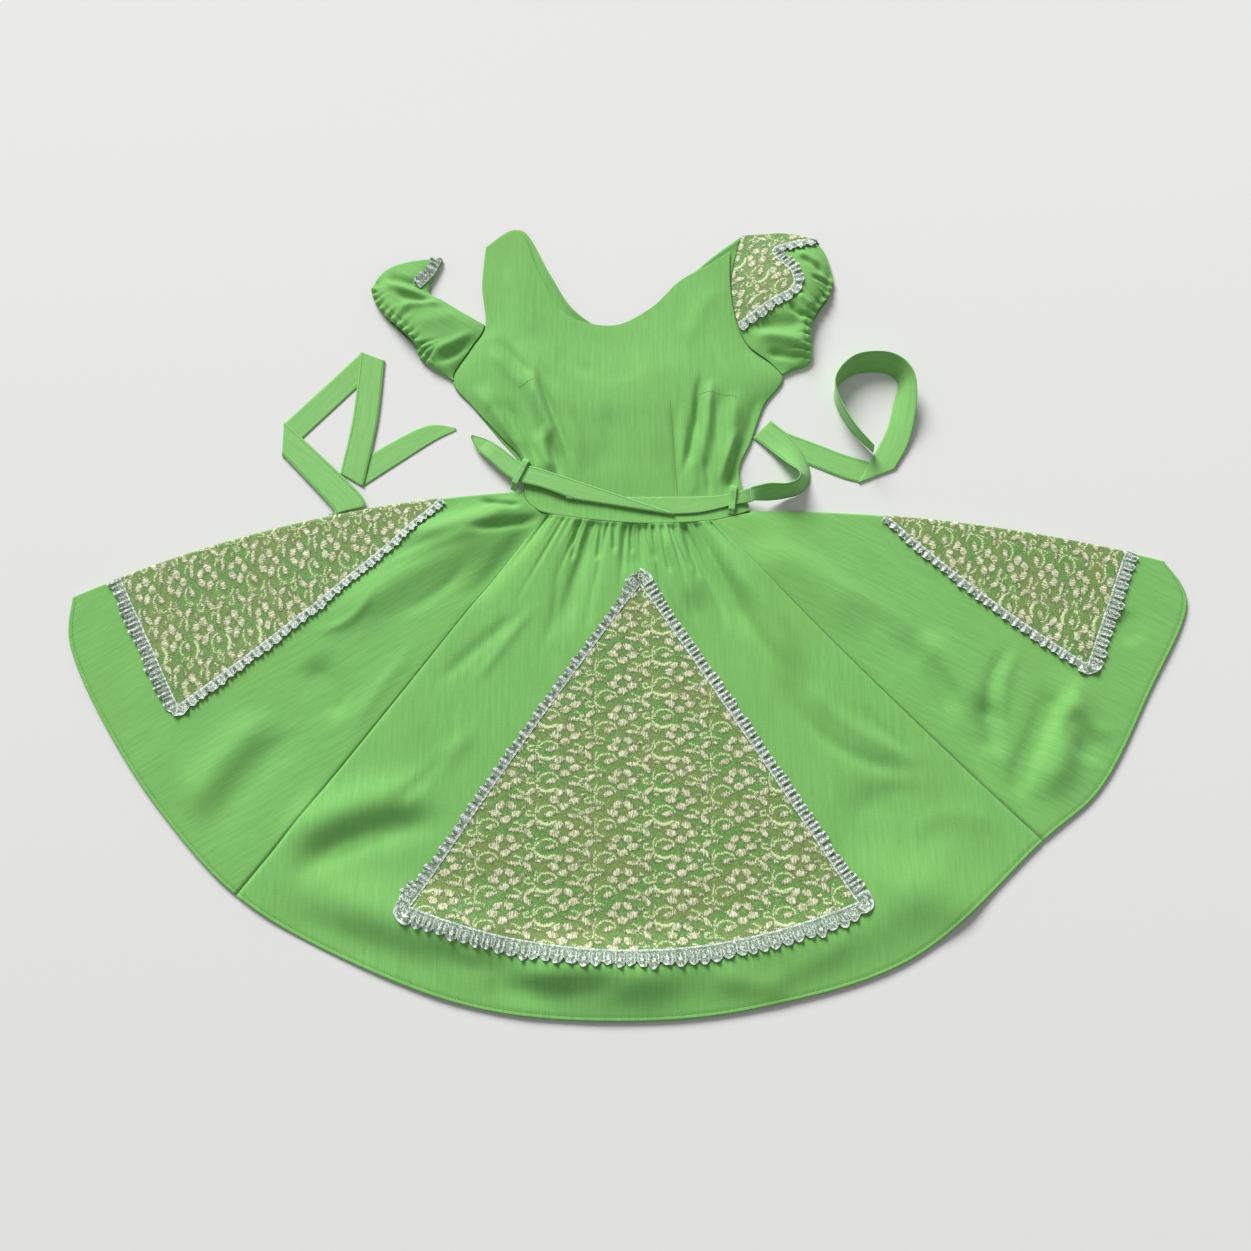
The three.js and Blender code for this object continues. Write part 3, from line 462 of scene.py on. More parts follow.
# Finer folds that lie between the large ones, in the same columns
SKIRT_WRINKLES = [
    [-314, 0, -392, -61, 18, 6, 1.6],
    [-387, -102, -341, -175, 2, 10, -2.0],
    [-126, -31, -236, -133, -3, 9, -1.8],
    [-109, -20, -192, -135, -1, 7, 1.2],
    [-206, -208, -280, -283, -1, 9, -1.8],
    [-179, -173, -271, -258, 9, 11, 1.6],
    [-256, -72, -340, -197, -3, 10, 1.2],
    [-198, 34, -288, -39, 9, 8, -1.2],
    [-158, 88, -311, 27, 2, 8, 1.4],
    [65, 77, 127, -65, 3, 7, -2.2],
    [43, 61, 89, -72, -11, 6, 1.4],
    [91, 54, 197, -123, -5, 9, -1.6],
    [184, -113, 361, -236, -38, 9, -2.6],
    [198, -97, 373, -222, -28, 10, 2.0],
    [278, -148, 355, -222, -8, 6, -1.6],
    [361, -95, 446, -268, -5, 7, -1.8],
    [381, -84, 443, -234, 0, 6, 1.4],
    [472, -75, 440, -191, -16, 7, -2.0],
    [487, -72, 458, -204, -16, 6, 1.6],
    [551, -113, 455, -268, -9, 7, -1.8],
    [567, -107, 469, -270, -5, 7, 1.6],
    [523, -159, 578, -223, -20, 8, -1.8],
    [543, -135, 597, -191, -19, 8, 1.8],
    [252, -285, 359, -258, 4, 16, -1.4],
    [319, -317, 448, -311, 27, 14, 1.2],
    [-86, 54, -108, -97, 7, 6, -1.2],
    [-35, 34, -53, -72, -3, 6, -1.0],
    [28, 34, 76, -72, -2, 5, -1.0],
    [116, 34, 212, -72, 0, 10, 1.2],
    [167, 61, 372, -72, 3, 14, 1.6],
    [-238, -432, -123, -470, -8, 10, -1.6],
    [266, -420, 149, -481, 8, 12, 1.2],
    [-613, -72, -479, -306, -18, 18, 1.4],
    [-133, 108, -191, 119, 2, 5, -4],
    [-105, 95, -210, 73, 3, 6, -3.5],
    [-150, -448, 80, -474, -8, 24, 7],
    [-122, -470, -64, -480, 3, 5, 1.6],
    [88, -470, 190, -484, -3, 14, 3],
    [-190, -436, -150, -486, 0, 8, 1.8],
]

# The nine sharp gathers of the middle: waistX, waistY, toX, toY, bend, half width, depth
GATHER_CREASES = [
    [-64, 88, -71, 33, 1, 3.2, -3.6],
    [-49, 87, -56, 46, 0, 3.0, -3.2],
    [-34, 86, -39, 33, 1, 3.0, -4.0],
    [-18, 85, -17, 44, 0, 2.6, -3.6],
    [4, 84, 6, 44, -1, 2.6, -3.6],
    [22, 84, 35, 33, -1, 3.0, -4.0],
    [42, 84, 53, 13, -1, 3.2, -4.4],
    [56, 84, 80, 19, -2, 3.4, -4.4],
    [69, 86, 90, 6, -2, 3.6, -4.0],
]
print(len(GATHERS), "gathers,", len(SKIRT_FOLDS), "large folds,", len(SKIRT_WRINKLES), "finer ones")

# %% [markdown]
# ## Surface of the skirt
#
# On the real dress the cloth is drawn up on two threads until its folds stand close together, and then sewn
# to the bodice. Each point gets its plan from two rays, and its height from this gathering, the folds of
# the tables and the dents of the seams. A formula can be read at any place, so the lace, the stitches and
# the belt can lie on the very same surface.

# %% Skirt surface
# Millimetres between two rays at the waist and at the hem
RAY_WIDTHS = (12, 120)
GATHER_SCALE = 1.3
FINE_GATHERS = 38
SEAM_DENT, SEAM_HALF = 0.8, 2.5
HEM_DENT, HEM_HALF = 0.5, 1.4
FOLD_SCALE, WRINKLE_SCALE, RIPPLE_SCALE = 1.2, 1.5, 0.5
ROLL_PLACE, ROLL_HALF = 58, 32
# Shares of the way down on either side of the sewing of the hem
HEM_SHARES = [0.985, 0.988, 0.9905, 0.9925, 0.9945, 0.997, 1.0]


def skirt_plan(ray, v):
    """The way from waist to hem, pushed to its left by four times the bow times v times one minus v."""
    row = through(SKIRT_RAYS, ray)
    waist, hem, bow = row[..., 0:2], row[..., 2:4], row[..., 4]
    way = hem - waist
    side = 4 * bow * v * (1 - v) / np.linalg.norm(way, axis=-1)
    return (
        waist[..., 0] + way[..., 0] * v - way[..., 1] * side,
        waist[..., 1] + way[..., 1] * v + way[..., 0] * side,
    )


def waist_top(x):
    """Highest in the middle, falling with the fourth power of the distance from it."""
    return mix(WAIST_TOP, EDGE_TOP + 1.5, np.clip((x - WAIST_MIDDLE) / WAIST_HALF, -1, 1) ** 4)


def gather_depth(ray, down):
    """Narrow troughs, a cosine wave to the fourth power, that fade down the skirt as a bell curve."""
    place = (ray - LEFT_SEAM) / (RIGHT_SEAM - LEFT_SEAM) * len(GATHERS)
    inside = (place >= 0) & (place < len(GATHERS))
    row = np.asarray(GATHERS)[np.clip(np.floor(place).astype(int), 0, len(GATHERS) - 1)]
    wave = ((1 - np.cos(2 * math.pi * (place + 0.12 * np.sin(4.4 * place)))) / 2) ** 4
    fine = ((1 - np.cos(2 * math.pi * (2.6 * place + 0.6 * np.sin(2.1 * place)))) / 2) ** 2
    deep = GATHER_SCALE * row[..., 0] * wave * np.exp(-((down / row[..., 1]) ** 2))
    shallow = GATHER_SCALE * fine * np.exp(-((down / FINE_GATHERS) ** 2))
    return np.where(inside, deep + shallow, 0) * ease(down / 5)


def seam_depth(ray, v, left_to_hem):
    """A narrow dent along both seams and one along the sewing of the hem, each a bell curve across it."""
    from_seam = np.minimum(np.abs(ray - LEFT_SEAM), np.abs(ray - RIGHT_SEAM)) * mix(*RAY_WIDTHS, v)
    along_seam = SEAM_DENT * np.exp(-((from_seam / SEAM_HALF) ** 2))
    return along_seam + HEM_DENT * np.exp(-(((left_to_hem - HEM_LINE) / HEM_HALF) ** 2))


def skirt_height(ray, v, x, y):
    """Dome between waist and hem, plus folds and a soft roll at the front hem, less gathers and dents."""
    row = through(SKIRT_RAYS, ray)
    length = np.linalg.norm(row[..., 2:4] - row[..., 0:2], axis=-1)
    down = v * length
    base = mix(HEM_TOP, waist_top(row[..., 0]), (1 - v) ** 2) + SKIRT_PUFF * np.sin(math.pi * v)
    soft = FOLD_SCALE * folds(SKIRT_FOLDS, x, y) + WRINKLE_SCALE * folds(SKIRT_WRINKLES, x, y)
    soft = soft + RIPPLE_SCALE * ripple(x, y, 90, 4)
    soft += folds(GATHER_CREASES, x, y, 0.14)
    middle = 1 - ease((np.abs(ray - 7) - 1.2) / 2)
    roll = HEM_ROLL * middle * np.exp(-(((length - down - ROLL_PLACE) / ROLL_HALF) ** 2))
    top = np.maximum(base + soft + roll - gather_depth(ray, down), LOWEST_TOP)
    return top - seam_depth(ray, v, length - down)


def skirt_point(ray, v):
    """Plan and height together."""
    x, y = skirt_plan(ray, v)
    return np.stack([x, y, skirt_height(ray, v, x, y)], -1)


def down_steps(count):
    """Shares of the way down, closer together near the waist, and again along the sewing of the hem."""
    return np.r_[(np.arange(count + 1) / count) ** 1.25 * 0.982, HEM_SHARES]


def side_surface(seam, fold, q, v):
    """q runs 0 to 1 over the upper layer, 1 to 2 round the fold in a half circle and 2 to 3 back beneath."""
    way = np.sign(fold - seam)
    outermost = skirt_point(np.full_like(v, fold), v)
    before, after = (np.stack(skirt_plan(np.full_like(v, fold), v + step), -1) for step in (-0.01, 0.01))
    run = unit(after - before)
    radius = outermost[..., 2] / 2
    t = np.where(q <= 1, q, np.clip(3 - q, 0, 1))
    ray = seam + (fold - seam) * t
    flat = skirt_point(ray, v)
    angle = np.pi / 2 - np.pi * np.clip(q - 1, 0, 1)
    into = radius * (np.cos(np.where((q > 1) & (q < 2), angle, np.pi / 2)) - 1) * way
    pull = np.where((q > 1) & (q < 2), 1, t * t)
    height = np.where(q <= 1, flat[..., 2], np.where(q >= 2, 0, radius + radius * np.sin(angle)))
    return np.stack(
        [flat[..., 0] - run[..., 1] * into * pull, flat[..., 1] + run[..., 0] * into * pull, height], -1
    )


print("skirt's top at the middle of the waist:", skirt_point(np.array([7.0]), np.array([0.0])).round(1), "mm")

# %% [markdown]
# ## Panels of the skirt
#
# Four gores are sewn together along their straight sides. The front one lies on top and the back one lies
# flat on the surface. Each side gore is folded along its middle, so that it is one piece of cloth above and
# below. It could be two layers with a joint between them, but one grid keeps the fold round and the cut
# whole.

# %% Skirt panels
FRONT_STEPS = (184, 108)
SIDE_STEPS = (106, 108)
BACK_STEPS = (60, 30)


def front_gore():
    """Rays from one front seam to the other, hem first, so that the faces point up."""
    across, along = FRONT_STEPS
    v, part = np.meshgrid(down_steps(along)[::-1], np.arange(across + 1) / across, indexing="ij")
    inset = SEAM / 2 / mix(*RAY_WIDTHS, v)
    ray = np.clip(mix(LEFT_SEAM, RIGHT_SEAM, part), LEFT_SEAM + inset, RIGHT_SEAM - inset)
    return skirt_point(ray, v)


def side_gore(seam, fold, grain):
    """The upper layer, the fold and the lower layer as one grid, with its cut unfolded past the fold."""
    across, along = SIDE_STEPS
    q = np.concatenate([np.linspace(0, 1, across + 1), np.linspace(1.1, 1.9, 9), np.linspace(2, 3, 21)])
    v, q = np.meshgrid(down_steps(along), q, indexing="ij")
    grid = side_surface(seam, fold, q, v)
    cut = turned(grid[..., 0], grid[..., 1], grain)
    edge = cut[:, [across + 5]]
    cut = np.where((q > 1.5)[..., None], 2 * edge - cut, cut)
    return (grid[::-1], cut[::-1]) if fold > seam else (grid, cut)


gore = front_gore()
skirt_front = cotton_panel("skirt_front", gore, gore[..., :2])
# Direction of the grain of each side gore in degrees from X
LEFT_GRAIN, RIGHT_GRAIN = 212, -28
side_pieces = {
    "left": cotton_panel("skirt_side_left", *side_gore(LEFT_SEAM, LEFT_FOLD, LEFT_GRAIN)),
    "right": cotton_panel("skirt_side_right", *side_gore(RIGHT_SEAM, RIGHT_FOLD, RIGHT_GRAIN)),
}

across, along = BACK_STEPS
v, part = np.meshgrid(down_steps(along)[::-1], np.arange(across + 1) / across, indexing="ij")
x, y = skirt_plan(mix(LEFT_SEAM + 0.004, RIGHT_SEAM - 0.004, part), v)
grid = np.stack([x, y, np.full_like(x, CLOTH)], -1)
skirt_back = cotton_panel("skirt_back", grid, grid[..., :2])

# %% [markdown]
# ## Bodice
#
# The bodice front is a patch between its waist seam, its neckline and its two sides. It is rounded between
# the sides as over a little trapped air, with the pleats that run from bust to waist and the short bust
# darts. The back is the same cut pressed flat beneath it, and shows only at the neck.

# %% Bodice tables
BODICE_LEFT = [
    [-133, 129], [-136, 172], [-166, 208], [-203, 250], [-231, 288], [-210, 333], [-191, 371],
    [-197, 432], [-194, 493],
]
BODICE_RIGHT = [
    [156, 102], [143, 156], [160, 200], [179, 252], [205, 296], [163, 336], [146, 378], [139, 434],
    [140, 487],
]
FRONT_NECK = [
    [-194, 493], [-150, 519], [-118, 446], [-83, 388], [-21, 371], [30, 397], [70, 439], [110, 465],
    [140, 487],
]
BACK_LEFT = [[-133, 129], [-139, 168], [-169, 206], *BODICE_LEFT[3:]]
BACK_RIGHT = [*BODICE_RIGHT[:7], [141, 440], [156, 510]]
BACK_NECK = [
    [-194, 493], [-146, 521], [-106, 450], [-72, 394], [-21, 366], [26, 390], [62, 427], [112, 474],
    [156, 510],
]
BODICE_PUFF = [[0.5], [8], [9], [10], [11], [10], [7], [3], [0.6]]
BODICE_FOLDS = [
    [-134, 300, -84, 170, -2, 9, 6],
    [-122, 306, -74, 170, -2, 5, -5],
    [-187, 240, -114, 152, -7, 6, 4],
    [-190, 226, -124, 150, -7, 5, -3.5],
    [-112, 220, -92, 146, -6, 8, 6],
    [-98, 214, -84, 140, -4, 6, -4],
    [-166, 345, -86, 150, -6, 14, -4],
    [-146, 350, -58, 148, -6, 17, 5],
    [-205, 282, -130, 160, 8, 14, 6],
    [-180, 270, -136, 150, 8, 9, -4],
    [112, 290, 92, 150, 0, 8, 5],
    [98, 292, 68, 140, 3, 5, -5],
    [146, 205, 124, 124, 3, 4, -4],
    [142, 276, 118, 135, 4, 11, 6],
    [172, 268, 142, 165, 4, 9, -3],
    [60, 250, 68, 110, 0, 6, -1.5],
]
BODICE_WRINKLES = [
    [-120, 285, -71, 150, 6, 6, -2.2],
    [-105, 295, -51, 154, 5, 8, 1.8],
    [-159, 263, -110, 160, -1, 5, -2.0],
    [-174, 254, -125, 154, -3, 5, 1.8],
    [-179, 353, -120, 286, -1, 6, -1.4],
    [-188, 335, -128, 269, -2, 8, 1.4],
    [98, 300, 93, 197, -6, 4, -1.8],
    [111, 291, 108, 190, -4, 5, 1.4],
    [58, 254, 64, 124, 0, 4, -0.9],
    [73, 254, 69, 141, 1, 6, 1.2],
    [162, 204, 128, 129, 1, 5, -2.2],
    [143, 218, 115, 132, 0, 5, 1.8],
    [99, 176, 104, 118, 1, 4, -1.4],
    [120, 254, 121, 154, 1, 5, 1.2],
    [80, 176, 84, 118, 3, 5, 1.0],
    [-36, 141, -21, 254, -5, 14, -0.7],
    [16, 343, 35, 154, 4, 16, 0.8],
    [-166, 466, -116, 343, -3, 9, 1.0],
    [124, 434, 82, 328, -9, 12, 1.0],
    [-90, 343, -36, 295, -9, 10, -0.8],
]
print(len(BODICE_FOLDS) + len(BODICE_WRINKLES), "folds of the bodice")

# %% [markdown]
# ## Panels of the bodice
#
# Front and back are cut to the same outline and sewn at the sides and shoulders. The waist darts pull the
# cloth into pleats below the bust. The back's neckline is cut a little higher, so a strip of it shows and
# rises to the edge. Both are patches between four curves, so that the panels and the skirt share the waist
# seam.

# %% Bodice panels
WAIST_SEAM = [row[:2] for row in SKIRT_RAYS]


def bodice_plan(neck, left, right, u, v):
    """The patch between its four edges, its lower edge raised off the skirt by the seam gap."""
    plan = patch(WAIST_SEAM, neck, left, right, u, v)
    slope = shared(WAIST_SEAM, u + 0.01) - shared(WAIST_SEAM, u - 0.01)
    level = np.maximum(slope[..., 0] / np.linalg.norm(slope, axis=-1), 0.2)
    return plan[..., 0], plan[..., 1] + 0.05 / level * (1 - v) ** 6


def front_plan(u, v):
    """Plan of the bodice front."""
    return bodice_plan(FRONT_NECK, BODICE_LEFT, BODICE_RIGHT, u, v)


def bodice_point(u, v):
    """Rounded by one minus the fourth power of the distance from the middle, plus folds inside the rims."""
    x, y = front_plan(u, v)
    puff = shared(BODICE_PUFF, v)[..., 0]
    shape = 1 - np.abs(2 * u - 1) ** 4
    base = EDGE_TOP + mix(puff * shape, waist_top(x) - EDGE_TOP, (1 - v) ** 6)
    rim = np.minimum(np.minimum(ease(u / 0.06), ease((1 - u) / 0.06)), ease((1 - v) / 0.1))
    soft = 1.2 * folds(BODICE_FOLDS, x, y) + 1.8 * folds(BODICE_WRINKLES, x, y) + 0.45 * ripple(x, y, 70, 8)
    return np.stack([x, y, np.maximum(base + soft * rim, LOWEST_TOP)], -1)


def neck_rise(u, v):
    """The back rises to its neckline by 0.3 of how far it shows past the front, over a little more."""
    step = shared(FRONT_NECK, u + 0.01) - shared(FRONT_NECK, u - 0.01)
    past = shared(BACK_NECK, u) - shared(FRONT_NECK, u)
    shows = (past[..., 1] * step[..., 0] - past[..., 0] * step[..., 1]) / np.linalg.norm(step, axis=-1)
    shows = np.clip(shows, 0, 13)
    stretch = (shows + 6) / 420
    return 0.3 * shows * ease((v - 1 + stretch) / stretch) * ease(u / 0.1)


BODICE_STEPS = (140, 145)
v, u = np.meshgrid(*(np.linspace(0, 1, n + 1) for n in BODICE_STEPS[::-1]), indexing="ij")
front = bodice_point(u, v)
bodice_front = cotton_panel("bodice_front", front, front[..., :2])

v, u = np.meshgrid(np.linspace(0, 1, 61), np.linspace(0, 1, 61), indexing="ij")
x, y = bodice_plan(BACK_NECK, BACK_LEFT, BACK_RIGHT, u, v)
grid = np.stack([x, y, CLOTH + neck_rise(u, v)], -1)
bodice_back = cotton_panel("bodice_back", grid, grid[..., :2])

# %% [markdown]
# ## Sleeves
#
# A short puffed sleeve is a tube from the armhole to a gathered cuff. Laid down it is flat below and full
# above. The left one is folded over at its tip. The tables give the four edges of each, the height of its
# puff along the sleeve and its larger folds.

# %% Sleeve tables
SLEEVES = {
    "right": {
        "upper": [[156, 510], [187, 512], [217, 513], [250, 504], [269, 483], [279, 440]],
        "lower": [[205, 296], [212, 300], [220, 304], [229, 307], [237, 310], [243, 316]],
        "cuff": [
            [279, 440], [272, 414], [263, 401], [253, 386], [246, 368], [243, 350], [244, 333], [243, 316],
        ],
        "gathers_from": 0.0,
        "puff": [[0], [10], [16], [18], [15], [7]],
        "side": BACK_RIGHT,
        "armhole": (8, 4),
        "away": 1,
        "folds": [
            [226, 478, 260, 454, 2, 7, 3],
            [230, 470, 266, 442, 2, 5, -5],
            [216, 398, 240, 372, -3, 5, -5],
            [228, 410, 248, 388, -3, 5, 5],
            [160, 371, 244, 366, -3, 12, -7],
            [165, 356, 244, 331, 2, 8, 5],
            [180, 329, 236, 314, 0, 6, -5],
            [244, 436, 272, 424, 2, 4, -3],
        ],
    },
    "left": {
        "upper": [[-191, 371], [-210, 383], [-229, 395], [-248, 408], [-268, 421], [-262, 447], [-252, 473]],
        "lower": [[-231, 288], [-236, 292], [-241, 295], [-246, 298], [-251, 301], [-256, 304], [-262, 308]],
        "cuff": [
            [-252, 473], [-277, 471], [-305, 465], [-328, 453], [-345, 429], [-340, 405], [-322, 380],
            [-306, 366], [-286, 344], [-276, 322], [-262, 308],
        ],
        "gathers_from": 0.4,
        "puff": [[0], [7], [11], [12], [12], [9], [3]],
        "side": BODICE_LEFT,
        "armhole": (6, 4),
        "away": -1,
        "folds": [
            [-336, 436, -248, 410, -6, 6, 5],
            [-326, 445, -276, 430, -4, 6, -5],
            [-312, 416, -258, 404, -3, 7, -5],
            [-314, 386, -240, 402, 4, 6, 4],
            [-262, 322, -198, 362, 0, 6, 3],
            [-256, 309, -198, 347, 0, 7, -6],
            [-290, 360, -220, 385, 3, 12, 2],
        ],
    },
}
print("folds of the sleeves:", {side: len(sleeve["folds"]) for side, sleeve in SLEEVES.items()})

# %% [markdown]
# ## Cloth of the sleeves
#
# The upper half is a patch between four edges, the lower half lies on the surface, and two half circles
# close the folds. An elastic sewn inside the cuff draws it into narrow creases that stand square to its
# rim. They are worked out from the distance to the rim and along it, since the patch's own lines would
# slant them.

# %% Sleeves
SLEEVE_EDGE = 5
SLEEVE_LOWEST = 1.6
CUFF_PITCH = 12
CUFF_WAVE = 2.0
# Depth of the dent over the elastic, its distance from the rim and half its width
BAND_DENT, BAND_PLACE, BAND_HALF = 1.6, 7, 3


def fold_arc(point, run, side, angles):
    """Half a circle from the upper layer's height to the floor, just inside the outermost place."""
    radius = point[..., 2] / 2
    shift = radius * (np.cos(angles) - 1) * side
    return np.stack(
        [
            point[..., 0] - run[..., 1] * shift,
            point[..., 1] + run[..., 0] * shift,
            radius + radius * np.sin(angles),
        ],
        -1,
    )


def sleeve_plan(sleeve, u, v):
    """The patch from the armhole to the cuff, moved a little off the bodice at the armhole."""
    start, end = sleeve["armhole"]
    seam = through(sleeve["side"], np.linspace(start, end, 9))
    plan = patch(seam, sleeve["cuff"], sleeve["upper"], sleeve["lower"], u, v)
    return plan + np.stack([sleeve["away"] * 0.2 * (1 - v) ** 4, np.zeros_like(v)], -1)


def near_cuff(sleeve, plan):
    """Distance to the nearest of 400 points of the gathered rim, and how far along the rim that one is."""
    rim = shared(sleeve["cuff"], np.linspace(sleeve["gathers_from"], 1, 400))
    away = np.linalg.norm(plan[..., None, :] - rim, axis=-1)
    return away.min(-1), run_of(rim)[away.argmin(-1)]


def sleeve_top(sleeve, u, v):
    """Puffed between the folds. Creases, a raised cosine to the power 2.5, fade in from the cuff."""
    plan = sleeve_plan(sleeve, u, v)
    puff = shared(sleeve["puff"], v)[..., 0]
    shape = 1 - np.abs(2 * u - 1) ** 3
    away, run = near_cuff(sleeve, plan)
    # The creases crowd and spread a little along the rim, and reach in by 15 mm, give or take 10
    crowd = 2 * math.pi * run / CUFF_PITCH + 1.1 * np.sin(run / 17)
    reach = 15 + 6 * np.sin(run / 9) + 4 * np.sin(run / 3.7)
    crease = 0.6 - 2.2 * ((1 + np.cos(crowd)) / 2) ** 2.5
    wave = CUFF_WAVE * np.exp(-((away / reach) ** 2)) * crease * np.minimum(shape * 2, 1)
    band = -BAND_DENT * np.exp(-(((away - BAND_PLACE) / BAND_HALF) ** 2)) * np.minimum(shape * 2, 1)
    soft = folds(sleeve["folds"], plan[..., 0], plan[..., 1]) * np.minimum(shape * 1.5, 1)
    height = np.maximum(SLEEVE_EDGE + puff * shape + wave + band + soft * ease(v / 0.15), SLEEVE_LOWEST)
    return np.concatenate([plan, height[..., None]], -1)


def sleeve_tube(sleeve, across=150, along=60, under=10, turn=7):
    """Upper half, one fold, lower half and the other fold as one closed ring of columns."""
    side = sleeve["away"]
    v = np.linspace(0, 1, along + 1)
    vv, uu = np.meshgrid(v, np.arange(1, across) / across, indexing="ij")
    upper = sleeve_top(sleeve, uu, vv)
    vv, uu = np.meshgrid(v, 1 - np.arange(1, under) / under, indexing="ij")
    lower = np.concatenate([sleeve_plan(sleeve, uu, vv), np.zeros_like(uu)[..., None]], -1)
    arcs = []
    for edge, way in ((1.0, -side), (0.0, side)):
        vv, angles = np.meshgrid(v, np.linspace(math.pi / 2, -math.pi / 2, turn), indexing="ij")
        uu = np.full_like(vv, edge)
        run = unit(sleeve_plan(sleeve, uu, vv + 0.02) - sleeve_plan(sleeve, uu, vv - 0.02))
        edge_height = np.full_like(uu, SLEEVE_EDGE)[..., None]
        outermost = np.concatenate([sleeve_plan(sleeve, uu, vv), edge_height], -1)
        arcs.append(fold_arc(outermost, run, way, angles))
    grid = np.concatenate([upper, arcs[0], lower, arcs[1][:, ::-1]], 1)
    return grid if side > 0 else grid[::-1]


SLEEVE_GRAIN = {"right": 20, "left": 150}
sleeve_pieces = {}
for side, sleeve in SLEEVES.items():
    grid = sleeve_tube(sleeve)
    cut = turned(grid[..., 0], grid[..., 1], SLEEVE_GRAIN[side])
    sleeve_pieces[side] = cotton_panel(f"sleeve_{side}", grid, cut, wraps=True)

# %% [markdown]
# ## Finding the cloth under a point
#
# Lace, edging and sewing lie on the panels, so each needs the height of the cloth under a place in plan.
# The panels know height from a ray and a share of the way down. Starting from the nearest of a few known
# places, a handful of Newton steps finds that pair for a whole array of places at once.

# %% Places on the skirt
# Longest step in shares of a panel that the search may take at once
SMALL_STRIDE = (0.06, 0.06)


def place_on(surface, x, y, first, second, stride=(0.8, 0.15), steps=10):
    """Each step divides the miss in plan by the slopes of the plan, measured with a small difference."""
    a, b = np.meshgrid(first, second, indexing="ij")
    known = np.stack(surface(a, b), -1).reshape(-1, 2)
    wanted = np.stack([x, y], -1).reshape(-1, 2)
    parts = np.array_split(wanted, max(len(wanted) // 4000, 1))
    best = np.concatenate([((part[:, None] - known) ** 2).sum(-1).argmin(1) for part in parts])
    a, b = a.ravel()[best], b.ravel()[best]
    small = 1e-3
    for _ in range(steps):
        px, py = surface(a, b)
        ax, ay = surface(a + small, b)
        bx, by = surface(a, b + small)
        xa, ya, xb, yb = (ax - px) / small, (ay - py) / small, (bx - px) / small, (by - py) / small
        dx, dy = wanted[:, 0] - px, wanted[:, 1] - py
        scale = xa * yb - xb * ya
        scale = np.where(np.abs(scale) < 1e-6, 1e-6, scale)
        a = np.clip(a + np.clip((dx * yb - dy * xb) / scale, -stride[0], stride[0]), first[0], first[-1])
        b = np.clip(b + np.clip((dy * xa - dx * ya) / scale, -stride[1], stride[1]), second[0], second[-1])
    return a.reshape(x.shape), b.reshape(x.shape)


def on_front(x, y):
    """The front gore under a place: its point and the way out of the cloth there."""
    ray, v = place_on(skirt_plan, x, y, np.linspace(3.5, 10.5, 25), np.linspace(0, 1, 14), steps=6)
    point = skirt_point(ray, v)
    return point, unit(np.cross(skirt_point(ray, v - 0.001) - point, point - skirt_point(ray + 0.005, v)))


def on_side(seam, fold, x, y):
    """Share q of the way over a side gore and share v of the way down. Past the fold q goes on a little."""

    def plan(q, v):
        point = side_surface(seam, fold, q, v)
        return point[..., 0], point[..., 1]

    return place_on(plan, x, y, np.linspace(-0.1, 1.5, 24), np.linspace(0, 1, 20), (0.08, 0.08), 14)


middle_point = on_front(np.array([0.0]), np.array([-200.0]))[0]
print("cloth at the middle of the front gore:", middle_point.round(2), "mm")

# %% [markdown]
# ## Lace
#
# The lace is a fine net with flowers, leaves and scrolls in thicker cream and gold thread, sewn over the
# green cotton. Its pattern repeats in columns, every other column dropped by a little over half a repeat. A
# flower has five wide petals, and beside it stand leaves, stems, a small curl and a scroll. Each shape is a
# distance from an oval or an arc. The distances are stored on the points of a fine grid, so that the
# material can draw a sharp, ragged thread edge anywhere between two points, and the shapes are raised as
# real relief.

# %% Lace pattern
COLUMN = 69.0
REPEAT = 39.0
DROP = 23.5

# Petals and leaves as ovals: x, y, half length, half width, turn in degrees
PETALS = [
    [-6.8, 8.2, 5.6, 4.0, 34],
    [6.2, 8.0, 5.8, 4.0, -28],
    [-12.2, -0.8, 6.4, 4.0, -16],
    [11.8, -1.8, 6.6, 4.0, 12],
    [-0.2, -8.4, 6.0, 4.2, 4],
]
LEAVES = [
    [11.5, -20.5, 7.8, 2.3, -6],
    [29.5, -13.6, 6.6, 3.1, 34],
    [27.4, -24.6, 6.6, 3.1, -48],
    [21, 5.4, 2.8, 1.3, 8],
    [-28.5, 5.2, 3.2, 1.5, -6],
    [-16.5, -17.4, 5.6, 2.9, 18],
    [21.5, -33.5, 2.4, 1.3, -10],
    [33, -4, 2.2, 1.4, 30],
]
# Stems and rings as arcs: x, y, radius across, radius along, from degrees, to degrees, half width
STEMS = [
    [8, -20.5, 13, 9, 20, 75, 0.7],
    [-19.5, -15.6, 11.0, 7.4, 0, 185, 0.8],
    [-20, -19, 14, 10, 195, 262, 0.7],
    [-31, -18, 2.6, 12, 100, 260, 0.5],
    [28, -1.4, 3.6, 3.2, 60, 330, 0.8],
    [22.6, -19, 5.4, 4.2, 100, 255, 0.6],
]
SCROLL = [
    [48.4 - COLUMN, -5.7 + DROP, 11.4, 8.6, -210, 60, 1.7],
    [50 - COLUMN, -3.6 + DROP, 4.4, 1.6, 0, 340, 1.9],
    [40.4 - COLUMN, 3 + DROP, 11, 7.5, 15, 80, 0.8],
]
print("in a repeat:", len(PETALS), "petals,", len(LEAVES), "leaves,", len(STEMS + SCROLL), "stems and scrolls")

# %% [markdown]
# ## Distance to the pattern
#
# A place is first shifted by a little noise, since a guided thread wanders. It is then moved into one repeat
# of its column and measured against the shapes of that column and its two neighbours. The nearest counts.


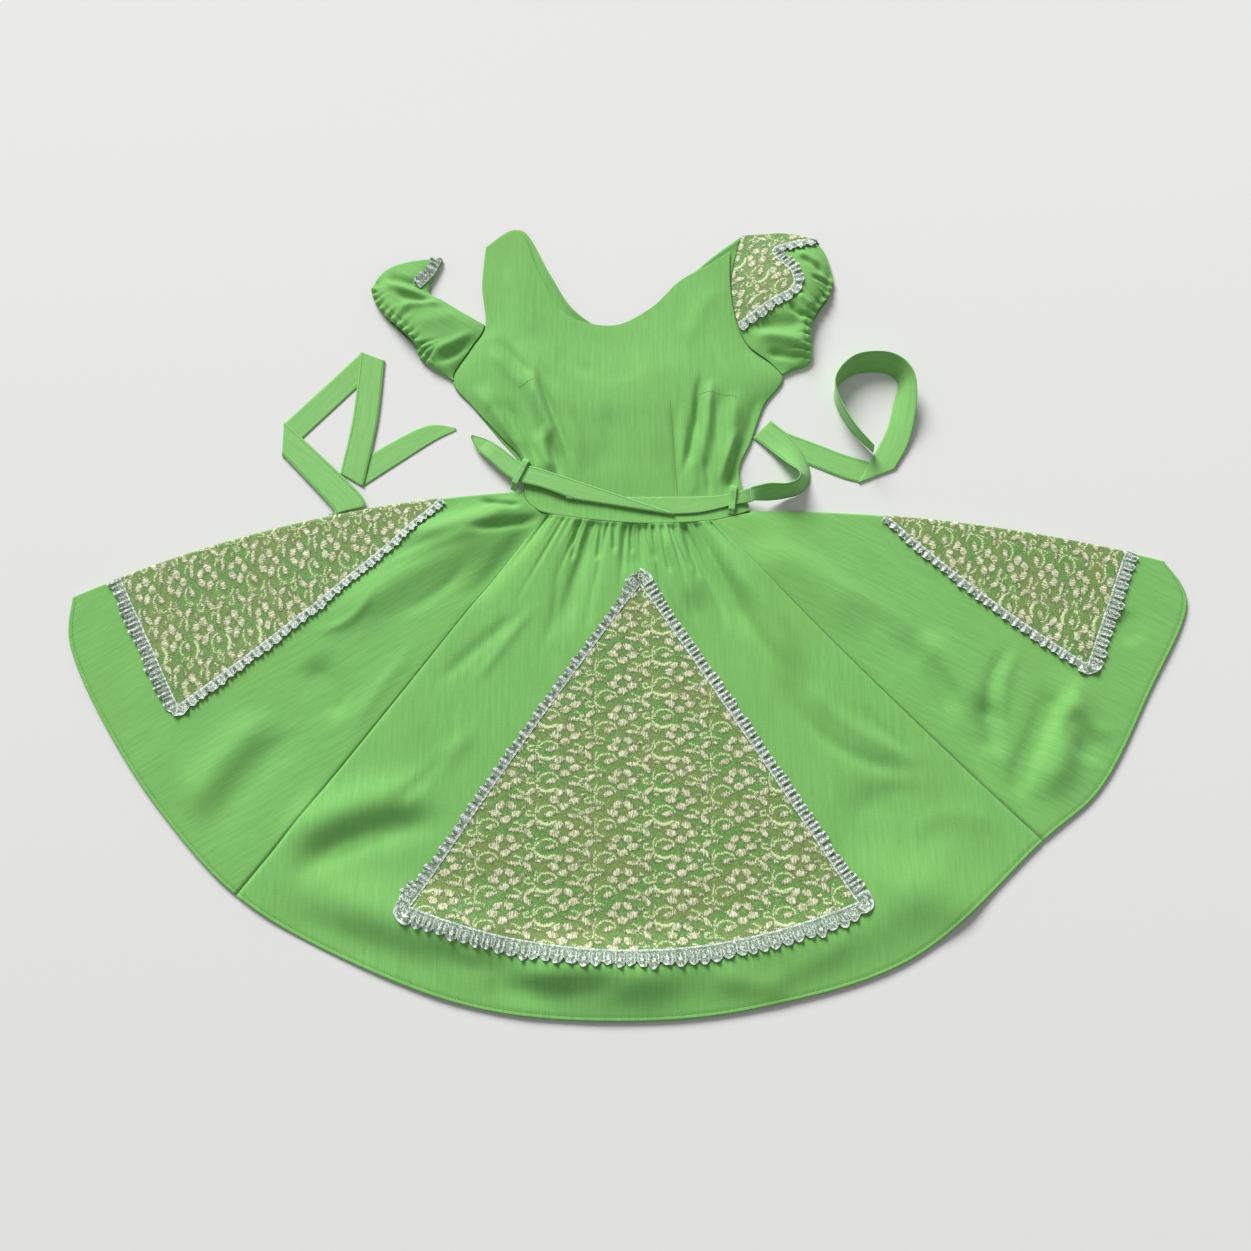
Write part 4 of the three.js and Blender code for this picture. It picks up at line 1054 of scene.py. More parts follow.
# %% Pattern distances
def oval_miss(x, y, rows):
    """Smallest distance outside any of the ovals, measured in the oval's own shape."""
    miss = np.full_like(x, 9.0)
    for cx, cy, half_length, half_width, degrees in rows:
        a = math.radians(degrees)
        along = (x - cx) * math.cos(a) + (y - cy) * math.sin(a)
        across = (y - cy) * math.cos(a) - (x - cx) * math.sin(a)
        miss = np.minimum(miss, (np.hypot(along / half_length, across / half_width) - 1) * half_width)
    return miss


def arc_miss(x, y, rows):
    """Smallest distance from the middle line of any of the arcs, less half its width."""
    miss = np.full_like(x, 9.0)
    for cx, cy, rx, ry, start, end, half in rows:
        a = np.radians(np.linspace(start, end, max(int((end - start) * rx / 100), 4)))
        ax, ay = cx + rx * np.cos(a), cy + ry * np.sin(a)
        for x0, y0, x1, y1 in zip(ax[:-1], ay[:-1], ax[1:], ay[1:]):
            dx, dy = x1 - x0, y1 - y0
            t = np.clip(((x - x0) * dx + (y - y0) * dy) / (dx * dx + dy * dy), 0, 1)
            miss = np.minimum(miss, np.hypot(x - x0 - t * dx, y - y0 - t * dy) - half)
    return miss


def lace_pattern(x, y):
    """Folds the place into one repeat of its column and takes the nearest shape of it and its neighbours."""
    x = x + 0.9 * ripple(x, y, 45, 15)
    y = y + 0.9 * ripple(x, y, 45, 16)
    column = np.round(x / COLUMN)
    dropped = (column % 2) == 1
    fill = np.full_like(x, 9.0)
    thread = np.full_like(x, 9.0)
    for shift in (-1, 0, 1):
        ax = x - (column + shift) * COLUMN
        down = dropped if shift == 0 else ~dropped
        ay = (y + np.where(down, DROP, 0) + REPEAT * 0.65) % REPEAT
        for lift in (REPEAT * 0.65, REPEAT * 1.65):
            fill = np.minimum(fill, oval_miss(ax, ay - lift, PETALS + LEAVES))
            thread = np.minimum(thread, arc_miss(ax, ay - lift, STEMS))
            thread = np.minimum(thread, np.where(down, arc_miss(ax, ay - lift, SCROLL), 9))
    return np.clip(fill, -3, 3), np.clip(thread, -3, 3)


sample = lace_pattern(*np.meshgrid(np.linspace(0, 276, 300), np.linspace(0, 156, 200)))
print("share of the lace that is flower or leaf:", round(float((sample[0] < 0).mean()), 2))

# %% [markdown]
# ## Look of the lace
#
# Such lace is a fine net onto which cream and gold yarn is stitched, sometimes laid over dyed cotton. The
# net shows as pale specks on green, the flowers as lines of satin thread with a frayed edge, and a brown
# painted shadow stands round them for the shade of the raised thread. One material draws all of it from
# the stored distances, with noise along the edges.


# %% Lace material
def lace_material():
    """Green cotton under a speckled net, ragged cream thread inside the shapes, a brown painted shadow round
    them.
    """
    material, tree, shader, cut = start_material("gold_cream_lace", 0.6, 0.1)
    fill = add_node(tree, "ShaderNodeAttribute", attribute_name="fill").outputs["Fac"]
    stem = add_node(tree, "ShaderNodeAttribute", attribute_name="stem").outputs["Fac"]
    ragged = spread(tree, streaks(tree, cut, 760, 380, 3.0), 0.3, 0.7, -1.9, 1.9)
    fine = streaks(tree, cut, 640, 640, 2.0)
    patches = streaks(tree, cut, 13, 20, 3.0)
    satin = streaks(tree, cut, 620, 150, 2.0)
    specks = add_node(tree, "ShaderNodeTexVoronoi", {"Vector": cut, "Scale": 430.0}).outputs["Distance"]
    ground = blend(tree, "MIX", spread(tree, fine, 0.38, 0.62), linear(80, 122, 56), linear(112, 162, 84))
    gold = blend(tree, "MIX", spread(tree, patches, 0.42, 0.62, 0.0, 0.5), ground, linear(134, 138, 80))
    net = blend(tree, "MIX", spread(tree, specks, 0.2, 0.42, 0.6, 0.0), gold, linear(160, 184, 120))
    # A brown painted shadow round each flower and leaf, where the raised thread would shade the net
    painted_shadow = spread(tree, sum_of(tree, fill, ragged), 0.6, 1.9, 0.75, 0.0)
    net_under_painted_shadow = blend(tree, "MIX", painted_shadow, net, linear(84, 94, 50))
    thread = blend(tree, "MIX", spread(tree, satin, 0.36, 0.64), linear(140, 150, 98), linear(234, 236, 202))
    inside = spread(tree, sum_of(tree, fill, ragged), 0.6, -0.2)
    flower = blend(tree, "MIX", inside, net_under_painted_shadow, thread)
    line = spread(tree, sum_of(tree, stem, ragged), 0.5, -0.2)
    drawn = blend(tree, "MIX", line, flower, linear(212, 222, 172))
    height = sum_of(tree, sum_of(tree, inside, line, "MAXIMUM"), fine)
    finish_material(tree, shader, drawn, height, 0.6, 0.0006)
    return material


lace_cloth = lace_material()
print("lace uses", len(lace_cloth.node_tree.nodes), "nodes")

# %% [markdown]
# ## Lace triangles
#
# The front triangle is a lattice of small squares in plan. Squares outside the triangle are left out, and
# the points just outside are pulled onto its rim. A side triangle is worked out in the side gore's own two
# shares, so that it wraps the fold as the cloth does.

# %% Lace pieces
LACE_FRONT = [[15, 2, 4], [-252, -396, 52], [266, -390, 2]]
LACE_SIDE = {
    "left": [[-650, 36, 0], [-546, -156, 8], [-208, 148, 0]],
    "right": [[306, 116, 10], [563, -104, 0], [638, 70, 0]],
}
LACE_LIFT = 0.9
LACE_RELIEF = 0.4
LACE_CELL = 1.25
# Where the pattern starts on the front triangle and on the sleeve's cap
FRONT_SHIFT, SLEEVE_SHIFT = [6, 12], [8, 4]


def bowed(start, end, t):
    """Straight from corner to corner, pushed to its right by four times the bow times t times one minus t."""
    x0, y0, bow = start
    x1, y1 = end[:2]
    out = 4 * bow * t * (1 - t) / math.hypot(x1 - x0, y1 - y0)
    return mix(x0, x1, t) + (y1 - y0) * out, mix(y0, y1, t) - (x1 - x0) * out


def even_line(corners, sides, spacing):
    """The sides of a triangle as points at an even spacing, their distance along it, and its corners'."""
    t = np.linspace(0, 1, 300)
    drawn = [np.stack(bowed(corners[k], corners[(k + 1) % 3], t), -1) for k in range(sides)]
    line = np.concatenate([side[:-1] for side in drawn] + [drawn[-1][-1:]])
    return *respaced(line, spacing), run_of(line)[::299]


def facing_up(grid, *others):
    """Turns the columns round where the faces would look down."""
    if normals_of(grid)[..., 2].mean() < 0:
        return [grid[:, ::-1], *(other[:, ::-1] for other in others)]
    return [grid, *others]


def lattice_inside(line, spacing):
    """Squares whose middle is inside a closed line, and their points, those outside pulled onto the line."""
    low, high = line.min(0), line.max(0)
    xs, ys = (np.arange(low[k], high[k] + spacing, spacing) for k in (0, 1))
    middle_x, middle_y = np.meshgrid(xs[:-1] + spacing / 2, ys[:-1] + spacing / 2)

    def inside(x, y):
        """Counts how often a ray to the right crosses the line: an odd number is inside."""
        odd = np.zeros(x.shape, bool)
        for (x0, y0), (x1, y1) in zip(line[:-1], line[1:]):
            if y0 != y1:
                odd ^= ((y0 > y) != (y1 > y)) & (x < x0 + (y - y0) * (x1 - x0) / (y1 - y0))
        return odd

    quads = quads_of(len(ys), len(xs))[inside(middle_x, middle_y).ravel()]
    used, numbers = np.unique(quads, return_inverse=True)
    x, y = (value.ravel()[used] for value in np.meshgrid(xs, ys))
    out = np.flatnonzero(~inside(x, y))
    fine = np.concatenate([mix(line[:-1], line[1:], t) for t in (0, 0.33, 0.67)])
    places = np.stack([x, y], -1)
    parts = np.array_split(out, max(len(out) // 400, 1))
    near = np.concatenate([((places[part][:, None] - fine) ** 2).sum(-1).argmin(1) for part in parts])
    x[out], y[out] = fine[near].T
    return x, y, numbers.reshape(-1, 4)


def lace_piece(name, points, normals, quads, cut, nodes):
    """Pattern from the cut, relief from the pattern."""
    fill, stem = lace_pattern(cut[..., 0], cut[..., 1])
    relief = LACE_LIFT + LACE_RELIEF * ease(0.5 - np.minimum(fill, stem) / 1.6)
    points = points + normals * relief[..., None]
    marks = {"fill": fill, "stem": stem}
    made = piece(name, points, quads, cut, lace_cloth, nodes, marks, thickness=0)
    print(name, "area", round(flat_area(points, quads), 4), "m2,", 2 * len(quads), "triangles")
    return made


line, _, _ = even_line(LACE_FRONT, 3, 2.0)
x, y, quads = lattice_inside(line, LACE_CELL)
points, normals = on_front(x, y)
print("lace normals point up by", round(float(normals[:, 2].mean()), 3))
cut = points[:, :2] + FRONT_SHIFT
lace_front = lace_piece("lace_front_net", points, normals, quads, cut, ["lace_front"])

# %% [markdown]
# ## Lace on the side gores
#
# The rim of a side triangle is its two open sides. Its points are found on the gore once, and the lace is
# the straight way in q and v from the rim to just round the fold.

# %% Side lace
SIDE_RAYS = {"left": (LEFT_SEAM, LEFT_FOLD), "right": (RIGHT_SEAM, RIGHT_FOLD)}
FOLD_LINE = {"left": 194, "right": -14}


def side_lace(side, across):
    """Rows go from the rim to the fold. The cut follows the fold's own direction."""
    seam, fold = SIDE_RAYS[side]
    rim, _, _ = even_line(LACE_SIDE[side], 2, LACE_CELL)
    q, v = on_side(seam, fold, rim[:, 0], rim[:, 1])
    kept = np.flatnonzero(q < 1.3)
    q, v = q[kept[0]:kept[-1] + 1], v[kept[0]:kept[-1] + 1]
    t, s = np.meshgrid(np.linspace(0, 1, across), np.arange(len(q)), indexing="ij")
    reach = mix(v[0], v[-1], s / (len(q) - 1))
    grid = side_surface(seam, fold, mix(q[s], 1.45, t), mix(v[s], reach, t))
    cut = turned(grid[..., 0], grid[..., 1], FOLD_LINE[side])
    grid, cut = facing_up(grid, cut)
    quads = quads_of(*grid.shape[:2])
    return lace_piece(f"lace_side_{side}_net", grid, normals_of(grid), quads, cut, [f"lace_side_{side}"])


SIDE_ACROSS = 98
lace_sides = {side: side_lace(side, SIDE_ACROSS) for side in SIDE_RAYS}

# %% [markdown]
# ## Edging
#
# A narrow white lace with a scalloped edge is gathered onto the rim of each lace piece. It stands a little
# off the cloth in small waves. Each scallop is bordered by thick thread and holds a ring with a small
# flower, and the net between is open. The strip is a grid along the rim and outwards, and again it stores
# the distance to the nearest thread.

# %% Edging
PITCH = 13.6
EDGING_LIFT = 1.5
ALONG_SCALLOP = 16


def edging_material():
    """White thread where the stored distance is below nothing, and elsewhere open net: the green cloth, with
    painted shade.
    """
    material, tree, shader, cut = start_material("white_gathered_edging", 0.65, 0.15)
    thread = add_node(tree, "ShaderNodeAttribute", attribute_name="thread").outputs["Fac"]
    fine = streaks(tree, cut, 900, 900, 3.0)
    wide = streaks(tree, cut, 300, 300, 2.0)
    ragged = spread(tree, fine, 0.3, 0.7, -1.5, 1.5)
    white = blend(tree, "MIX", spread(tree, wide, 0.4, 0.6), linear(178, 190, 188), linear(250, 252, 250))
    # The open net shows the green cloth through it, painted darker as the shade under the lifted edging
    net = blend(tree, "MIX", spread(tree, fine, 0.42, 0.6), linear(62, 94, 52), linear(128, 152, 122))
    seen = blend(tree, "MIX", spread(tree, sum_of(tree, thread, ragged), 0.15, -0.35), net, white)
    finish_material(tree, shader, seen, fine, 0.6, 0.0006)
    return material


edging_lace = edging_material()
print("edging uses", len(edging_lace.node_tree.nodes), "nodes")

# %% [markdown]
# ## The strip of edging
#
# The real edging is a straight strip of scalloped lace. It is sewn down with more length than the rim it
# follows, so it stands up in small flutes. The strip here runs along the rim in even steps. Its width
# swells with each scallop and its height waves twice for each, a little unevenly, as gathering by hand
# makes it.


# %% Edging strips
def thread_miss(turn, w, width):
    """Nearest of the round border, a five-lobed flower, a ring of dots and two lines along the sewn side."""
    x, y = turn * PITCH, w * width
    heart = 0.58 * width
    ring = np.hypot(x, y - heart)
    angle = np.arctan2(y - heart, x)
    lobes = 2.1 * (1 + 0.4 * np.cos(5 * angle + 1.57))
    border = np.where(y > 0.3 * width, np.abs(ring - 0.36 * width) - 0.75, 9)
    dots = np.abs(ring - 0.24 * width) - 0.9 * np.cos(8 * angle)
    rim = (1 - w) * width - 0.9
    flower = np.maximum(ring - lobes, 0.5 - ring)
    sewn, second = np.abs(y - 0.9) - 0.9, np.abs(y - 0.26 * width) - 0.3
    return np.minimum.reduce([border, rim, flower, dots, sewn, second])


def edging_strip(rim, run, out, widths, seed, across=15):
    """Width shrinks between scallops, and the height waves twice for each scallop, unevenly."""
    phase = run / PITCH + 0.25 * ripple(run, run * 0.3, 70, seed)
    scallop = np.abs(np.sin(math.pi * phase))[:, None]
    w = np.linspace(0, 1, across)[None]
    uneven = 1 + 0.2 * ripple(run, run * 0.4, 33, seed + 2)[:, None]
    width = widths[:, None] * (0.66 + 0.34 * scallop ** 0.6) * uneven
    reach = w * width - 1.5 * (1 - w)
    x, y = (rim[:, k][:, None] + out[:, k][:, None] * reach for k in (0, 1))
    flutter = np.sin(4 * math.pi * phase + 2.0 * ripple(run, run * 0.2, 45, seed + 1))[:, None]
    rise = (0.4 + 2.6 * w) * (0.5 + 0.5 * flutter) + 0.5 * w * scallop
    thread = thread_miss((phase % 1 - 0.5)[:, None], w, width)
    cut = np.stack(np.broadcast_arrays(run[:, None], w * width), -1)
    return x, y, rise, np.clip(thread, -2, 2), cut


def outward_of(rim, reach, closed=False):
    """To the right of the run of the rim, measured over a stretch, so that it turns softly at corners."""
    if closed:
        padded = np.concatenate([rim[-reach - 1:-1], rim, rim[1:reach + 1]])
    else:
        padded = np.concatenate([np.repeat(rim[:1], reach, 0), rim, np.repeat(rim[-1:], reach, 0)])
    run = unit(padded[2 * reach:] - padded[:-2 * reach])
    return np.stack([run[:, 1], -run[:, 0]], -1)


def edging_piece(name, grid, rise, thread, cut, nodes):
    """Lifted along the cloth's normals by the lace's height and the ruffle."""
    grid, rise, thread, cut = facing_up(grid, rise, thread, cut)
    grid = grid + normals_of(grid) * (EDGING_LIFT + rise)[..., None]
    quads = quads_of(*grid.shape[:2])
    made = piece(name, grid, quads, cut, edging_lace, nodes, {"thread": thread}, thickness=0)
    print(name, "area", round(flat_area(grid, quads), 4), "m2,", 2 * len(quads), "triangles")
    return made


sewn_side = float(thread_miss(0.0, 0.05, 13.0))
print("the strip's sewn side lies inside its thread by", round(-sewn_side, 2), "mm")

# %% [markdown]
# ## Edging round the lace
#
# The strip of the front triangle is wider along its lower side and at the corners than up its two long
# sides, as in the photograph. Those of the side gores follow the fold round, and stop just past it.

# %% Edging pieces
rim, run, corners = even_line(LACE_FRONT, 3, PITCH / ALONG_SCALLOP)
_, one, two, end = corners
WIDTH_PLACES = [
    0, 22, 60, one - 60, one - 12, one + 30, two - 12, two + 20, two + 60, end - 60, end - 22, end,
]
widths = np.interp(run, WIDTH_PLACES, [19, 12, 9.5, 11, 19, 18, 19, 18, 13, 12.5, 13, 19])
x, y, rise, thread, cut = edging_strip(rim, run, outward_of(rim, 7, closed=True), widths, 21)
edgings = {
    "front": edging_piece("edging_front_lace", on_front(x, y)[0], rise, thread, cut, ["edging_front"]),
}

for side, (seam, fold) in SIDE_RAYS.items():
    rim, run, corners = even_line(LACE_SIDE[side], 2, PITCH / ALONG_SCALLOP)
    short_first = corners[1] < run[-1] / 2
    ends = [16, 16, 12, 10] if short_first else [10, 12, 16, 16]
    widths = np.interp(run, [0, corners[1] - 15, corners[1] + 15, run[-1]], ends)
    x, y, rise, thread, cut = edging_strip(rim, run, outward_of(rim, 8), widths, 31)
    q, v = on_side(seam, fold, x, y)
    kept = np.flatnonzero(q[:, 0] < 1.4)
    kept = slice(kept[0], kept[-1] + 1)
    strip = [part[kept] for part in (side_surface(seam, fold, np.minimum(q, 1.45), v), rise, thread, cut)]
    edgings[side] = edging_piece(f"edging_side_{side}_lace", *strip, [f"edging_side_{side}"])

# %% [markdown]
# ## Lace on the sleeves
#
# The right sleeve carries a cap of the same lace from its armhole to a curved rim, and the left sleeve
# shows only the white edging of its own cap, folded over at the tip. Both are laid on the sleeve like the
# rest.

# %% Sleeve lace
SLEEVE_RIM = [[146, 371], [188, 399], [219, 417], [221, 441], [198, 481], [246, 501], [254, 520]]
SLEEVE_TIP_RIM = [[-253, 472], [-265, 447], [-281, 424]]


def on_sleeve(sleeve, x, y):
    """Shares of the sleeve across and along for places in plan."""

    def plan(u, v):
        point = sleeve_plan(sleeve, u, v)
        return point[..., 0], point[..., 1]

    return place_on(plan, x, y, np.linspace(0, 1, 24), np.linspace(0, 1, 20), SMALL_STRIDE, 16)


def smooth_line(rows, spacing):
    """The curve through the rows as points at an even spacing, with their distance along it."""
    return respaced(shared(rows, np.linspace(0, 1, 600)), spacing)


# Share of the rim after which the cap's other side is the fold of the sleeve, no longer the armhole
TURN = 0.62
right = SLEEVES["right"]
rim, run = smooth_line(SLEEVE_RIM, 1.2)
u, v = on_sleeve(right, rim[:, 0], rim[:, 1])
share_of_rim = run / run[-1]
back_u = np.interp(share_of_rim, [0, TURN, 1], [u[0], 0.004, 0.004])
back_v = np.interp(share_of_rim, [0, TURN, 1], [0.0, 0.0, v[-1]])
t, s = np.meshgrid(np.linspace(0, 1, 90), np.arange(len(rim)), indexing="ij")
grid = sleeve_top(right, mix(u[s], back_u[s], t), mix(v[s], back_v[s], t))
cut = turned(grid[..., 0], grid[..., 1], 140) + SLEEVE_SHIFT
grid, cut = facing_up(grid, cut)
sleeve_cap = lace_piece(
    "sleeve_lace_right_net", grid, normals_of(grid), quads_of(*grid.shape[:2]), cut, ["sleeve_lace_right"])

SLEEVE_STRIP = 13.0
for side, rows in (("right", SLEEVE_RIM), ("left", SLEEVE_TIP_RIM)):
    node = f"sleeve_edging_{side}"
    rim, run = smooth_line(rows, PITCH / ALONG_SCALLOP)
    widths = np.full(len(rim), SLEEVE_STRIP)
    x, y, rise, thread, cut = edging_strip(rim, run, outward_of(rim, 8), widths, 51)
    u, v = on_sleeve(SLEEVES[side], x, y)
    grid = sleeve_top(SLEEVES[side], u, v)
    edgings[node] = edging_piece(f"{node}_lace", grid, rise, thread, cut, [node])

# %% [markdown]
# ## Belt
#
# The belt is a flat tube of the same cotton, 33 mm wide. Each stretch is a table of stations with its
# middle, the height of its lower rim, its width and how far it is turned on edge. Where it folds flat onto
# itself, the two rims go round a half circle along the crease.

# %% Belt tables
# x, y, low, width, tilt, onDress, fold, lowAfter
SASH_FRONT = [
    [-203, 206, 2.5, 3, 0, 0, 0, 0],
    [-190, 195, 2.5, 18, 0, 0, 0, 0],
    [-172, 180, 2.5, 23, 0, 1, 0, 0],
    [-141, 154, 2, 25, 0, 1, 0, 0],
    [-104, 141, 2, 24, 0, 1, 0, 0],
    [-10, 106, 3, 26, 0, 1, -1, 0.6],
    [92, 108, 0.6, 22, 0, 1, 0, 0],
    [132, 116, 0.6, 17, 0, 1, 0, 0],
    [156, 120, 2.5, 18, 20, 1, 0, 0],
]
SASH_TURN = [
    [160, 121, 12, 18, 25, 0, 0, 0],
    [180, 123, 6, 26, 55, 0, 0, 0],
    [201, 124, 1.5, 33, 78, 0, 0, 0],
    [218, 131, 0.4, 33, 74, 0, 0, 0],
    [226, 147, 0.4, 33, 58, 0, 0, 0],
    [217, 170, 1.5, 33, 28, 0, 0, 0],
    [199, 195, 2.2, 34, 6, 0, 0, 0],
    [175, 218, 1.6, 34, 0, 0, 0, 0],
]
TIE_RIGHT = [
    [194, 203, 0, 30, 0, 0, 0, 0],
    [216, 193, 0, 31, 0, 0, 0, 0],
    [246, 180, 0, 32, 0, 0, 0, 0],
    [281, 165, 0, 33, 0, 0, 0, 0],
    [321, 153, 0, 33, 0, 0, 1, 2.0],
    [350, 205, 0.6, 33, -8, 0, 0, 0],
    [362, 252, 0.1, 33, -35, 0, 0, 0],
    [364, 288, 0, 33, -62, 0, 0, 0],
    [343, 308, 0, 33, -62, 0, 0, 0],
    [303, 307, 0, 33, -66, 0, 0, 0],
    [275, 284, 0, 33, -80, 0, 0, 0],
    [272, 256, 0, 33, -86, 0, 0, 0],
    [291, 214, 0.8, 32, -84, 0, 0, 0],
    [316, 183, 2.4, 28, -80, 0, 0, 0],
]
TIE_LEFT = [
    [-358.2, 102.3, 4.4, 47, 0, 0, 0, 0],
    [-362, 118, 4.4, 39, 0, 0, 0, 0],
    [-447, 204, 2.2, 33, 0, 0, -1, 0],
    [-339, 324, 0, 33, 0, 0, 1, 1.8],
    [-343, 232, 2.2, 33, 0, 0, 0, 0],
    [-355, 147, 1.8, 33, 0, 0, -1, 0],
    [-300, 186, 0, 31, 0, 0, 0, 0],
    [-256, 213, 0, 24, 0, 0, 0, 0],
    [-224, 219, 0, 3, 0, 0, 0, 0],
]
BELT = {"sash_front": SASH_FRONT, "sash_turn": SASH_TURN, "tie_right": TIE_RIGHT, "tie_left": TIE_LEFT}
print("stations of the belt:", {name: len(rows) for name, rows in BELT.items()})

# %% [markdown]
# ## From stations to a belt
#
# The real belt is a strip sewn to a tube, turned and pressed. Laid down, it lies flat where it can and
# stands on its edge where it turns in its own plane, since a flat strip can't bend sideways. Its two rims
# are therefore followed one by one, and the cloth is drawn between them. Where it lies on the dress it
# rises with it.

# %% Belt grids
BELT_WALL = 1.0
BELT_STEPS = 12
FOLD_STEPS = 10
BELT_ACROSS = 14
BELT_MIDDLE = 0.6


def heading(rows, k, part=""):
    """From the station before to the one after, but straight in and out of a fold."""
    before = rows[k if part == "after" else max(k - 1, 0)]
    after = rows[k if part == "before" else min(k + 1, len(rows) - 1)]
    return unit([after[0] - before[0], after[1] - before[1]])


def rims_at(row, way):
    """Left and right rim of a station, from its width and its tilt."""
    x, y, low, width, tilt, on_dress = row[:6]
    level, steep = math.cos(math.radians(tilt)), math.sin(math.radians(tilt))
    half_plan, half_rise = width / 2 * level, width / 2 * steep
    middle = low + BELT_MIDDLE * level + abs(half_rise)
    ux, uy = way
    return [x - uy * half_plan, y + ux * half_plan, middle + half_rise,
            x + uy * half_plan, y - ux * half_plan, middle - half_rise, on_dress]


def rims_round_fold(row, way_in, way_out):
    """In along the crease, over a half circle and out."""
    x, y, low, width, _, on_dress, _, low_after = row
    crease = unit(way_in + way_out)
    lean = crease[1] * way_in[0] - crease[0] * way_in[1]
    half = width / 2 / lean
    facing = np.sign(-lean)
    radius = abs(low_after - low) / 2
    lines = []
    for angle in np.linspace(0, math.pi, FOLD_STEPS + 1):
        reach = radius * math.sin(angle) * facing
        z = mix(low, low_after, (1 - math.cos(angle)) / 2) + BELT_MIDDLE
        mx, my = x - crease[1] * reach, y + crease[0] * reach
        lines.append([mx + crease[0] * half, my + crease[1] * half, z,
                      mx - crease[0] * half, my - crease[1] * half, z, on_dress])
    return lines


def belt_lines(rows):
    """All cross lines of a stretch, smooth between its folds. Past a fold the rims change sides."""
    lines, section, is_turned = [], [], False

    def swap(line):
        return [*line[3:6], *line[0:3], line[6]]

    def close():
        places = np.linspace(0, len(section) - 1, (len(section) - 1) * BELT_STEPS + 1)
        lines.extend(through(section, places).tolist())

    for k, row in enumerate(rows):
        if row[6] == 0:
            rims = rims_at(row, heading(rows, k))
            section.append(swap(rims) if is_turned else rims)
            continue
        turns = rims_round_fold(row, heading(rows, k, "before"), heading(rows, k, "after"))
        turns = [swap(line) for line in turns] if is_turned else turns
        section.append(turns[0])
        close()
        lines.extend(turns[1:-1])
        section = [turns[-1]]
        is_turned = not is_turned
    close()
    return np.array(lines)


print("cross lines of the left tie:", len(belt_lines(TIE_LEFT)))

# %% [markdown]
# ## The belt on the dress
#
# Where the belt lies on the dress it rises with the cloth below it, as a pressed strip does, without pressing
# into it. Each cross line is lifted by the highest cloth near it, evened out along the run. Its stretches are
# pieces of their own, since the rest of the belt is hidden behind the back.


# %% Belt pieces
def dress_top(x, y):
    """Height of the bodice above its waist seam and of the skirt below it, under each place."""
    u, v = place_on(front_plan, x, y, np.linspace(0, 1, 20), np.linspace(-0.05, 0.5, 14), SMALL_STRIDE)
    on_bodice = (v > 0) & (u > 0) & (u < 1)
    bodice = bodice_point(np.clip(u, 0, 1), np.clip(v, 0, 1))[..., 2]
    ray, down = place_on(skirt_plan, x, y, np.linspace(-0.2, 14.2, 40), np.linspace(-0.05, 0.4, 10))
    on_skirt = (down >= 0) & (ray > 0) & (ray < 14)
    skirt = skirt_height(np.clip(ray, 0, 14), np.clip(down, 0, 1), x, y)
    return np.where(on_bodice, bodice, np.where(on_skirt, skirt, 0))


def belt_grid(rows):
    """Straight between the two rims of each cross line, and lifted over the dress where it lies on it."""
    lines = belt_lines(rows)
    t = np.linspace(0, 1, BELT_ACROSS)[None, :, None]
    grid = mix(lines[:, None, 0:3], lines[:, None, 3:6], t)
    if (lines[:, 6] > 0.5).any():
        top = dress_top(grid[..., 0], grid[..., 1]).max(1) * (lines[:, 6] > 0.5)
        wide = np.stack([np.roll(top, k) for k in range(-5, 6)]).max(0)
        grid[..., 2] += np.convolve(np.pad(wide, 9, mode="edge"), np.full(19, 1 / 19), mode="valid")[:, None]
    return grid


def belt_piece(name, grid, nodes):
    """The grid is the middle of the flat tube, so half its wall goes to each side."""
    run = run_of(grid[:, grid.shape[1] // 2])
    width = np.linalg.norm(grid[:, -1] - grid[:, 0], axis=1)
    cut = np.stack([np.linspace(0, 1, grid.shape[1])[None] * width[:, None],
                    np.broadcast_to(run[:, None], grid.shape[:2])], -1)
    outer = grid + normals_of(grid) * BELT_WALL / 2
    quads = quads_of(*grid.shape[:2])
    made = piece(name, outer, quads, cut, belt_cotton, nodes, thickness=BELT_WALL)
    print(name, "length", round(run[-1] * MM, 3), "m")
    return made


belt_grids = {name: belt_grid(rows) for name, rows in BELT.items()}
sash, turn = belt_grids["sash_front"], belt_grids["sash_turn"]
last = min((sash[-1], sash[-1][::-1]), key=lambda row: np.abs(row - turn[0]).sum())
join = mix(last[None], turn[0][None], (np.arange(1, 8) / 8)[:, None, None])
belt_grids["sash_turn"] = np.concatenate([join, turn])
belts = {name: belt_piece(f"{name}_cloth", grid, [name]) for name, grid in belt_grids.items()}

# %% [markdown]
# ## Belt loops
#
# A loop is a narrow band of cotton from the cloth above the belt to the cloth below it. Its height at any
# place is that of the highest cloth or belt close by, so it lies on both.

# %% Belt loops
LOOPS = {"left": [-147, 131, -129, 171], "right": [131, 96, 136, 135]}
LOOP_HALF = 4
LOOP_WALL = 1.2
LOOP_LIFT = 0.9


